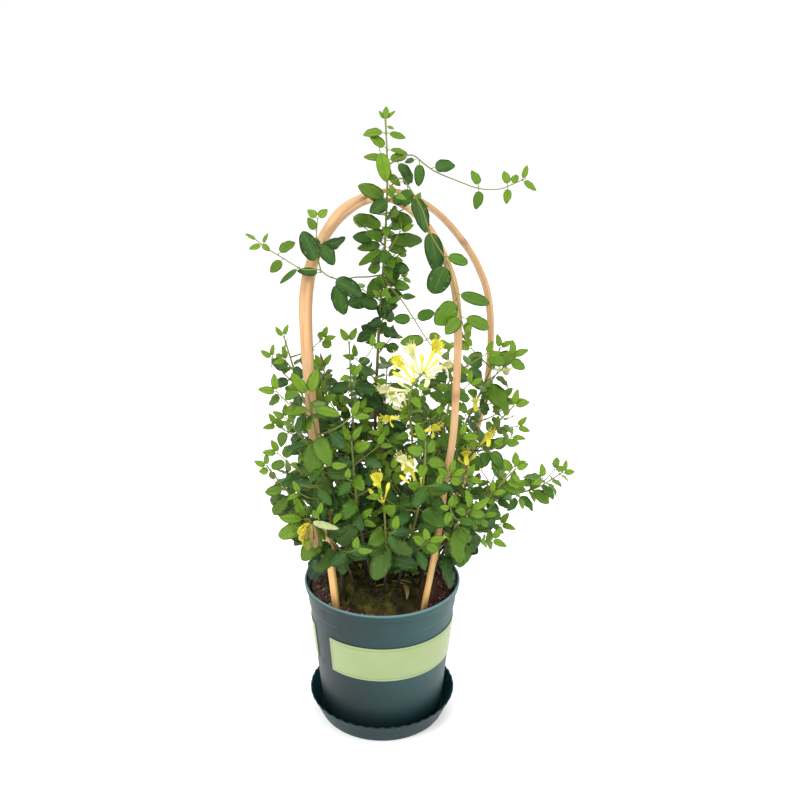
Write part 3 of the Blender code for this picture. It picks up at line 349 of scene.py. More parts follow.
# Painted shade: the left side of the wall is darker, though not on the lip.
left_painted_shade = plastic.part("X").between(0.045, -0.045)
tint = plastic.mix(left_painted_shade * (1.0 - edge) * 0.85, tint, (0.012, 0.021, 0.022))
satin = plastic.surface(Base_Color=tint, Roughness=0.38 + 0.22 * dust + 0.08 * scratch,
                        Specular_IOR_Level=0.24,
                        Normal=plastic.bump(plastic.noise(1100.0, 2.0) + 0.5 * scratch, 0.0001))
points, faces = turned(shell, 160)
new_piece("pot_shell", points, faces, satin, ["pot"])


# Labels. Two smooth pale lime plates moulded on round the wall, plain but for a thin line that runs
# inside the edge. Each is a bent plate with soft edges, and the line is drawn from its own map.

LABEL_LOW, LABEL_HIGH, LABEL_SPAN = 85.0, 129.0, 157.5
LABEL_BACK, LABEL_FACE = 0.34, 1.08
LABEL_ROWS = 61


def strip_faces(rows, columns):
    """Faces of a stack of rings with one flat face at each end."""
    ends = [list(range(columns))[::-1], list(range((rows - 1) * columns, rows * columns))]
    return grid_faces(rows, columns, True).tolist() + ends


def lay_chart(piece, along, across):
    """Give the mesh a map from two numbers at each point."""
    corner = np.empty(len(piece.data.loops), int)
    piece.data.loops.foreach_get("vertex_index", corner)
    spots = np.stack([along, across], axis=1)[corner]
    piece.data.uv_layers.new(name="map").data.foreach_set("uv", spots.ravel())


lime = Finish("label_lime")
across = lime.part("X", lime.chart())
upward = lime.part("Y", lime.chart())
inset = lime.maths("MINIMUM", (0.5 - abs(across - 0.5)) * 5.0, 0.5 - abs(upward - 0.5))
line = inset.between(0.052, 0.060) * inset.between(0.088, 0.080)
tint = lime.mix(lime.noise(26.0).between(0.3, 0.7), (0.275, 0.345, 0.148), (0.300, 0.378, 0.168))
tint = lime.mix(line * 0.7, tint, (0.17, 0.25, 0.085))
tint = lime.mix(lime.noise(160.0, 3.0).between(0.60, 0.8) * 0.3, tint, (0.32, 0.34, 0.20))
print_gloss = lime.surface(Base_Color=tint, Roughness=0.34, Normal=lime.bump(lime.noise(700.0, 2.0), 0.00006))
for title, start in (("label_front", 225.0), ("label_back", 45.0)):
    around = np.radians(start + np.linspace(0.2, LABEL_SPAN - 0.2, LABEL_ROWS))[:, None]
    proud, level = rounded([(LABEL_BACK, LABEL_LOW + 1), (LABEL_BACK, LABEL_LOW), (LABEL_FACE, LABEL_LOW),
                            (LABEL_FACE, LABEL_HIGH), (LABEL_BACK, LABEL_HIGH), (LABEL_BACK, LABEL_LOW + 1)],
                           [0, 0.25, 0.5, 0.5, 0.25], 3)[:-1].T
    radius = wall_radius(level) + proud
    ribbon = np.stack([radius * np.cos(around), radius * np.sin(around), level + 0 * around], axis=-1)
    faces = [face[::-1] for face in strip_faces(LABEL_ROWS, len(level))]
    plate = new_piece(title + "_plate", ribbon.reshape(-1, 3), faces, print_gloss, [title])
    lay_chart(plate, np.repeat(np.linspace(0, 1, LABEL_ROWS), len(level)),
              np.tile((level - LABEL_LOW) / (LABEL_HIGH - LABEL_LOW), LABEL_ROWS))


# Soil. A dark mossy root ball stands proud left of the middle, and reddish granules with crumbs of
# bark lie in the lower bed round it. The top is a disc of rings lifted by rough waves.

BALL_TOP, BALL_RADIUS = 168.0, 65.0
BED_TOP = 160.0
SOIL_FOOT, SOIL_FOOT_RADIUS = 7.5, 67.5


def from_ball(x, y):
    """Level distance from the root ball's middle."""
    return np.hypot(x + 8.0, y - 4.0)


def soil_height(x, y):
    """Root ball with soft edges, on a bed that is higher at the left, both with a crumbly surface."""
    reach = from_ball(x, y)
    rise = 1 / (1 + np.exp((reach - BALL_RADIUS) / 2.5))
    bed = BED_TOP - 0.03 * x
    crumbs = 0.7 * np.sin(0.31 * x + 1.1) * np.sin(0.37 * y) + 0.5 * np.sin(0.83 * x - 0.6 * y)
    fine = (0.45 * np.sin(1.7 * x + 0.9 * y) * np.sin(1.9 * y - 0.7 * x)
            + 0.3 * np.sin(2.9 * x) * np.sin(3.1 * y + 1))
    return bed + (BALL_TOP - 1.2 * (reach / BALL_RADIUS)**2 - bed) * rise + crumbs + fine


angle = np.linspace(0, 2 * math.pi, 180, endpoint=False)
reach = np.concatenate([np.linspace(2.0, 82.0, 54), [83.6]])
x, y = reach[:, None] * np.cos(angle), reach[:, None] * np.sin(angle)
top = np.stack([x, y, soil_height(x, y)], axis=-1).reshape(-1, 3)
foot = np.stack([SOIL_FOOT_RADIUS * np.cos(angle), SOIL_FOOT_RADIUS * np.sin(angle),
                 np.full(len(angle), SOIL_FOOT)], axis=-1)
points = np.vstack([top, foot, [[0, 0, soil_height(0.0, 0.0)], [0, 0, SOIL_FOOT]]])
faces = [face[::-1] for face in ring_faces(len(reach) + 1, len(angle))]
earth = Finish("soil_earth")
height = earth.part("Z")
patch = earth.noise(30.0, 4.0)
grit = earth.noise(420.0, 4.0, 0.7)
tint = earth.mix(patch.between(0.4, 0.62), (0.012, 0.010, 0.006), (0.028, 0.030, 0.009))
tint = earth.mix(grit.between(0.45, 0.7) * 0.6, tint, (0.062, 0.040, 0.020))
moss = earth.noise(48.0, 4.0, 0.65).between(0.44, 0.60) * height.between(0.1625, 0.166)
tint = earth.mix(moss * 0.85, tint, (0.060, 0.072, 0.012))
low_ground = 1.0 - height.between(0.1600, 0.1650)
tint = earth.mix(low_ground * earth.noise(85.0, 3.0).between(0.42, 0.62) * 0.8, tint, (0.16, 0.060, 0.022))
crumbly = earth.surface(Base_Color=tint, Roughness=0.93,
                        Normal=earth.bump(grit + 0.6 * earth.noise(150.0, 4.0), 0.0011))
new_piece("soil_bed", points, faces, crumbly, ["soil"])


def mark(piece, name, values):
    """Give the mesh one number at each point, for its finish to read."""
    piece.data.attributes.new(name, "FLOAT", "POINT").data.foreach_set("value", np.ascontiguousarray(values))


draw = np.random.default_rng(7)
golden = (1 + math.sqrt(5)) / 2
ball = np.array([(-1, golden, 0), (1, golden, 0), (-1, -golden, 0), (1, -golden, 0), (0, -1, golden),
                 (0, 1, golden), (0, -1, -golden), (0, 1, -golden), (golden, 0, -1), (golden, 0, 1),
                 (-golden, 0, -1), (-golden, 0, 1)]) / math.hypot(1, golden)
ball_faces = np.array([(0, 11, 5), (0, 5, 1), (0, 1, 7), (0, 7, 10), (0, 10, 11), (1, 5, 9), (5, 11, 4),
                       (11, 10, 2), (10, 7, 6), (7, 1, 8), (3, 9, 4), (3, 4, 2), (3, 2, 6), (3, 6, 8),
                       (3, 8, 9), (4, 9, 5), (2, 4, 11), (6, 2, 10), (8, 6, 7), (9, 8, 1)])
count = 1500
turn, far = draw.uniform(0, 2 * math.pi, count), 81.5 * np.sqrt(draw.uniform(0.0, 1.0, count))
x, y = far * np.cos(turn), far * np.sin(turn)
on_ball = from_ball(x, y) < BALL_RADIUS - 3
keep = ~on_ball | (draw.uniform(0, 1, count) < 0.33)
x, y, on_ball = x[keep], y[keep], on_ball[keep]
count = len(x)
size = draw.uniform(1.0, 3.0, count) * np.where(on_ball, 0.55, 1.0)
stretch = size[:, None] * draw.uniform(0.65, 1.15, (count, 3))
lumps = ball[None] * stretch[:, None] * draw.uniform(0.82, 1.12, (count, len(ball), 1))
middle = np.stack([x, y, soil_height(x, y) + 0.35 * size], axis=1)
granules = (middle[:, None] + lumps).reshape(-1, 3)
faces = (np.arange(count)[:, None, None] * len(ball) + ball_faces[None]).reshape(-1, 3)
stone = Finish("soil_granules")
kind = stone.read("kind")
tint = stone.mix(kind.between(0.0, 0.5), (0.050, 0.012, 0.022), (0.190, 0.064, 0.072))
tint = stone.mix(kind.between(0.55, 0.75), tint, (0.23, 0.11, 0.060))
tint = stone.mix(kind.between(0.86, 0.95), tint, (0.42, 0.30, 0.26))
tint = stone.mix(stone.noise(500.0, 3.0).between(0.4, 0.7) * 0.55, tint, (0.030, 0.020, 0.016))
crumb = stone.surface(Base_Color=tint, Roughness=0.86, Normal=stone.bump(stone.noise(900.0, 3.0), 0.0005))
grains = new_piece("soil_granules", granules, faces, crumb, [])
kinds = np.where(on_ball, draw.uniform(0.3, 0.8, count), draw.uniform(0, 1, count))
mark(grains, "kind", np.repeat(kinds, len(ball)))


# Moss and old roots on the root ball: a crown of soft cushions, dark in patches, olive where it grows,
# and earth brown down the right-hand side, with painted shade nearly black in the hollows of its fuzz. It has
# grown on the ball by itself.

CROWN_CENTRE = (3.0, -4.0)
CROWN_RADIUS, CROWN_RISE = 61.0, 17.0
SEEDLING_DIP = 10.0
TUFTS = 620


def crown_height(x, y):
    """A flat-topped mound on the soil with a steep side and a dip round the seedling."""
    reach = np.hypot(x - CROWN_CENTRE[0], y - CROWN_CENTRE[1])
    side = 1 / (1 + np.exp((reach - CROWN_RADIUS + 3.0 * np.sin(0.11 * x + 0.07 * y)) / 1.8))
    dip = SEEDLING_DIP * np.exp(-((x - 27)**2 + (y + 4)**2) / 220.0)
    return soil_height(x, y) + (CROWN_RISE - 0.03 * x - dip) * side - 0.6 * (1 - side)


draw = np.random.default_rng(31)
turn, far = draw.uniform(0, 2 * math.pi, TUFTS), 62.0 * np.sqrt(draw.uniform(0, 1, TUFTS))
tuft_x, tuft_y = CROWN_CENTRE[0] + far * np.cos(turn), CROWN_CENTRE[1] + far * np.sin(turn)
tuft_size, tuft_rise = draw.uniform(1.8, 6.0, TUFTS), draw.uniform(0.5, 1.3, TUFTS)
angle = np.linspace(0, 2 * math.pi, 260, endpoint=False)
flat_part, flank = np.linspace(1.0, 54.0, 46), np.linspace(54.8, 68.0, 24)
reach = np.concatenate([flat_part, flank])
x = CROWN_CENTRE[0] + reach[:, None] * np.cos(angle)
y = CROWN_CENTRE[1] + reach[:, None] * np.sin(angle)
apart = np.hypot(x[..., None] - tuft_x, y[..., None] - tuft_y) / tuft_size
cushions = (np.sqrt(np.clip(1 - apart**2, 0, 1)) * tuft_size * tuft_rise).max(axis=-1)
side_wobble = 0.8 * np.sin(9 * angle) + 0.5 * np.sin(23 * angle + 1.0)
top = np.stack([x, y, crown_height(x, y) + 0.7 * cushions * (reach[:, None] < 63.5)], axis=-1)
outward_step = np.stack([np.cos(angle), np.sin(angle)], axis=-1)
top[len(flat_part):-6, :, :2] += side_wobble[:, None] * outward_step
points = np.vstack([top.reshape(-1, 3), [[*CROWN_CENTRE, crown_height(*CROWN_CENTRE) + 1.0],
                                         [*CROWN_CENTRE, 155.0]]])
faces = [face[::-1] for face in ring_faces(len(reach), len(angle))]
mossy = Finish("root_ball_moss")
thread = mossy.grain((620.0, 620.0, 120.0), 4.0, 0.7)
fuzz = mossy.noise(520.0, 5.0, 0.75)
tint = mossy.mix(mossy.noise(70.0, 4.0).between(0.40, 0.62), (0.011, 0.011, 0.005), (0.052, 0.046, 0.013))
tint = mossy.mix(mossy.noise(44.0, 4.0, 0.65).between(0.48, 0.62) * 0.85, tint, (0.140, 0.128, 0.022))
tint = mossy.mix(fuzz.between(0.50, 0.72) * 0.45, tint, (0.090, 0.088, 0.022))
tint = mossy.mix((1.0 - mossy.part("Z").between(0.161, 0.170)) * 0.8, tint, (0.080, 0.042, 0.016))
tint = mossy.mix(mossy.part("X").between(0.036, 0.052) * 0.85, tint, (0.072, 0.032, 0.020))
tint = mossy.mix(thread.between(0.58, 0.72) * 0.4, tint, (0.120, 0.085, 0.042))
# Painted shade: the hollows of the fuzz relief go nearly black.
tint = mossy.mix(1.0 - fuzz.between(0.30, 0.44), tint, (0.005, 0.005, 0.003))
velvet = mossy.surface(Base_Color=tint, Roughness=0.95, Specular_IOR_Level=0.1,
                       Normal=mossy.bump(fuzz + 0.5 * thread, 0.0012))
new_piece("root_ball_moss", points, faces, velvet, [])


# Hoops. Two split bamboo strips, 7 to 12 mm broad, bent over and pushed into the soil so that they
# cross at the top. Each is a flat section with soft edges carried along a smooth route, a little
# thicker at the cane's joints. The outside keeps its skin, and the fibres run lengthwise.

HOOPS = {
    "hoop_left": {
        "route": [(-50, -54, 125), (-52, -56, 165), (-57, -63, 229), (-66, -71, 327), (-73, -75, 417),
                  (-77, -72, 505), (-72, -64, 549), (-56, -50, 584), (-35, -32, 608), (0, 0, 620),
                  (30, 22, 613), (62, 44, 591), (90, 58, 560), (109, 66, 530), (122, 71, 495),
                  (127, 72, 444), (124, 71, 389), (113, 67, 330), (94, 59, 255), (72, 50, 195),
                  (63, 45, 160), (58, 43, 125)],
        "width": [7.5, 9, 12, 12, 11, 10, 8, 7, 7, 7],
        "broad": [-30, -30, -30, -42, -54, -54, -54, -54],
        "thick": 4.5},
    "hoop_right": {
        "route": [(44, -56, 125), (47, -58, 165), (59, -66, 248), (67, -73, 327), (73, -76, 374),
                  (75, -77, 418), (76, -75, 480), (74, -68, 519), (67, -60, 548), (48, -40, 585),
                  (23, -19, 606), (2, 0, 611), (-23, 20, 604), (-51, 44, 580), (-72, 60, 545),
                  (-83, 70, 500), (-85, 73, 443), (-80, 70, 340), (-68, 60, 240), (-57, 52, 165),
                  (-54, 49, 125)],
        "width": [7, 8.5, 8, 8],
        "broad": [43.5, 43.5],
        "thick": 4.0},
}


def unit(vector):
    """The vector's direction, as a vector of length one."""
    return vector / np.linalg.norm(vector)


def unit_rows(vectors):
    """The same for each row."""
    return vectors / np.linalg.norm(vectors, axis=1)[:, None]


def aim(azimuth, rise):
    """Unit vector. Azimuth 0 points right, 90 to the back, 180 left, 270 to the front."""
    turn, lift = math.radians(azimuth), math.radians(rise)
    return np.array([math.cos(turn) * math.cos(lift), math.sin(turn) * math.cos(lift), math.sin(lift)])


def smooth_points(points, step):
    """Catmull-Rom curve through the points, read at even steps of its own length."""
    knots = np.asarray(points, float)
    knots = np.vstack([2 * knots[0] - knots[1], knots, 2 * knots[-1] - knots[-2]])
    t = np.linspace(0, 1, 24, endpoint=False)[:, None]
    runs = [0.5 * (2 * b + (c - a) * t + (2 * a - 5 * b + 4 * c - d) * t**2 + (3 * b - a - 3 * c + d) * t**3)
            for a, b, c, d in zip(knots, knots[1:], knots[2:], knots[3:])]
    fine = np.vstack(runs + [knots[-2:-1]])
    along = np.concatenate([[0.0], np.cumsum(np.linalg.norm(np.diff(fine, axis=0), axis=1))])
    wanted = np.linspace(0, along[-1], max(2, round(along[-1] / step) + 1))
    return np.stack([np.interp(wanted, along, fine[:, axis]) for axis in range(3)], axis=1), wanted


def strip_frames(hoop, step):
    """Centres, broad side and flat side of a bamboo strip, and its width, at even steps."""
    centres, along = smooth_points(hoop["route"], step)
    share = along / along[-1]
    width = np.interp(share, np.linspace(0, 1, len(hoop["width"])), hoop["width"])
    turn = np.radians(np.interp(share, np.linspace(0, 1, len(hoop["broad"])), hoop["broad"]))
    axis = unit_rows(np.gradient(centres, axis=0))
    broad = np.stack([np.cos(turn), np.sin(turn), np.zeros_like(turn)], axis=1)
    broad = unit_rows(broad - axis * np.sum(axis * broad, axis=1)[:, None])
    return centres, broad, np.cross(axis, broad), width


cane = Finish("bamboo_split")
fibre = cane.grain((7.0, 42.0, 1.0), 5.0, 0.62, cane.chart())
streak = cane.grain((2.2, 11.0, 1.0), 3.0, 0.5, cane.chart())
tint = cane.mix(streak.between(0.35, 0.68), (0.62, 0.375, 0.175), (0.47, 0.255, 0.105))
tint = cane.mix(fibre.between(0.54, 0.74) * 0.55, tint, (0.36, 0.185, 0.075))
tint = cane.mix(cane.noise(14.0).between(0.48, 0.7) * 0.35, tint, (0.66, 0.45, 0.24))
joint = cane.read("joint")
tint = cane.mix(joint * 0.7, tint, (0.27, 0.135, 0.06))
tint = cane.mix(cane.part("Z").between(0.320, 0.230) * 0.6, tint, (0.740, 0.455, 0.130))
tint = cane.mix(cane.part("Z").between(0.176, 0.164) * 0.5, tint, (0.20, 0.105, 0.045))
polish = cane.surface(Base_Color=tint, Roughness=0.40 + 0.25 * fibre, Normal=cane.bump(fibre, 0.00035))
turn = np.linspace(0, 2 * math.pi, 16, endpoint=False)
ROUNDNESS = 0.22
a = np.sign(np.cos(turn)) * np.abs(np.cos(turn))**ROUNDNESS
b = np.sign(np.sin(turn)) * np.abs(np.sin(turn))**ROUNDNESS
for title, joints in (("hoop_left", (0.16, 0.37, 0.60, 0.83)), ("hoop_right", (0.13, 0.275, 0.52, 0.78))):
    hoop = HOOPS[title]
    centres, broad, flat, width = strip_frames(hoop, 4.0)
    share = np.linspace(0, 1, len(centres))
    swell = sum(np.exp(-((share - spot) * 230)**2) for spot in joints)
    wander = 1 + 0.035 * np.sin(share * 57 + 1) + 0.02 * np.sin(share * 131)
    half = 0.5 * width * wander + 0.25 * swell
    thick = 0.5 * hoop["thick"] + 0.35 * swell
    strip = (centres[:, None] + (half[:, None] * a)[:, :, None] * broad[:, None]
             + (thick[:, None] * b)[:, :, None] * flat[:, None])
    piece = new_piece(title + "_strip", strip.reshape(-1, 3), strip_faces(*strip.shape[:2]), polish, [title])
    mark(piece, "joint", np.repeat(swell.clip(0, 1), len(turn)))
    lay_chart(piece, np.repeat(share * 9.0, len(turn)), np.tile(turn / 3.2, len(share)))


# Leafy stems. Each is a woody climber that stands in its own hole in the soil, brown and barky below
# and green above, with leaves in opposite pairs. They are grown as the solids are: by given routes
# and a seeded rule that gives every leaf its own room. Smaller leaves then fill the gaps between.

UP = np.array([0.0, 0.0, 1.0])
CLEAR = 0.3
POT_TOP = 175.0
POT_RIM_RADIUS = 92.0
SMALL_LEAF = 36.0
BROAD_LEAF = 50.0
STEM_STEP = 32.0
BRANCH_STEP = 20.0
SHOOT_STEP = 27.0
SPACING = 2.6
TIP_SHARE = 0.7
SKEW = (0.31, 0.52, 0.8)
TOWARD_VIEWER = np.array([0.0, -0.95, 0.3])
OPEN_VIEW = 110.0
UPPER_LIP = np.array([0.0, 0.9, 0.5])
FINE_TURNS = (0, 10, -10, 20, -20, 30, -30, 40, -40)
WIDE_TURNS = (0, 20, -20, 40, -40, 60, -60, 80, -80)
SHOOT_SWINGS = (0, 15, -15, 30, -30, 45, -45)
BLOOM_SWINGS = (0, 12, -12, 25, -25, 40, -40, 60, -60)

# Leaves set one by one: distance along the stem, azimuth, rise, length, width
LEADER_LEAVES = [
    (550, 280, 80, 15, 7), (551, 180, 55, 12, 4), (551, 0, 50, 14, 4), (545, 0, -10, 9, 4),
    (538, 180, 12, 25, 11), (539, 0, -12, 23, 7), (523, 180, 42, 23, 11), (522, 0, 2, 24, 7),
    (514, 184, 8, 25, 8), (512, 350, 18, 23, 11), (509, 290, -75, 28, 15), (500, 330, -40, 20, 9),
    (486, 330, -45, 17, 9), (472, 222, 26, 42, 17), (457, 345, -12, 29, 16),
    (447, 275, -25, 15, 10), (443, 186, 26, 36, 16), (432, 184, 45, 17, 10), (430, 352, 6, 40, 16),
    (426, 182, -4, 30, 12), (424, 192, -30, 35, 10), (424, 340, -10, 25, 11), (416, 320, -40, 18, 13),
    (402, 182, 0, 18, 14), (405, 310, -42, 18, 13), (394, 205, -50, 31, 16), (396, 300, -78, 22, 12),
    (394, 345, -25, 16, 7), (378, 350, -15, 24, 10), (367, 310, -66, 25, 16), (358, 182, 20, 18, 13),
    (327, 182, 30, 22, 13), (325, 0, 62, 24, 13), (317, 182, 12, 15, 6), (315, 0, 0, 21, 6)]
GARLAND_LEAVES = [
    (26, 0, 10, 15, 10), (38, 262, -76, 22, 15), (50, 305, -50, 42, 18), (92, 298, -58, 46, 20),
    (126, 10, -10, 30, 12), (132, 215, -62, 35, 24), (164, 8, -16, 40, 13), (168, 215, -52, 34, 22),
    (188, 5, -15, 36, 14), (186, 205, -38, 29, 18), (203, 300, 40, 13, 7), (203, 60, 50, 13, 7)]
RIGHT_TENDRIL_LEAVES = [
    (10, 350, -44, 28, 13), (37, 290, -82, 27, 12), (34, 175, -8, 13, 6), (52, 350, 14, 25, 15),
    (104, 150, 72, 20, 11), (104, 275, -84, 23, 12), (134, 272, -84, 18, 9), (134, 120, 70, 17, 9),
    (138, 30, 55, 15, 8), (149, 0, -28, 20, 8), (149, 20, 62, 17, 7)]
LEFT_TENDRIL_LEAVES = [
    (84, 345, -28, 36, 18), (72, 280, -86, 40, 20), (100, 190, 4, 24, 9), (124, 190, -36, 27, 6),
    (148, 20, 46, 23, 12), (142, 190, -46, 20, 10), (166, 200, -14, 14, 6), (165, 60, 66, 15, 5),
    (168, 340, -35, 12, 6), (172, 175, 35, 15, 4)]
CLUSTER_LEAVES = [
    (8, 205, 60, 36, 19), (18, 95, 78, 22, 10), (30, 340, -42, 30, 18), (26, 5, 2, 32, 16),
    (40, 190, 60, 16, 9), (52, 175, 48, 14, 9), (52, 5, 48, 14, 9)]
THIN_SHOOT_LEAVES = [
    (33, 200, -10, 14, 8), (32, 350, 14, 18, 8), (58, 188, -5, 22, 12), (60, 8, 22, 24, 13),
    (86, 182, 0, 30, 14), (84, 20, 10, 18, 11)]

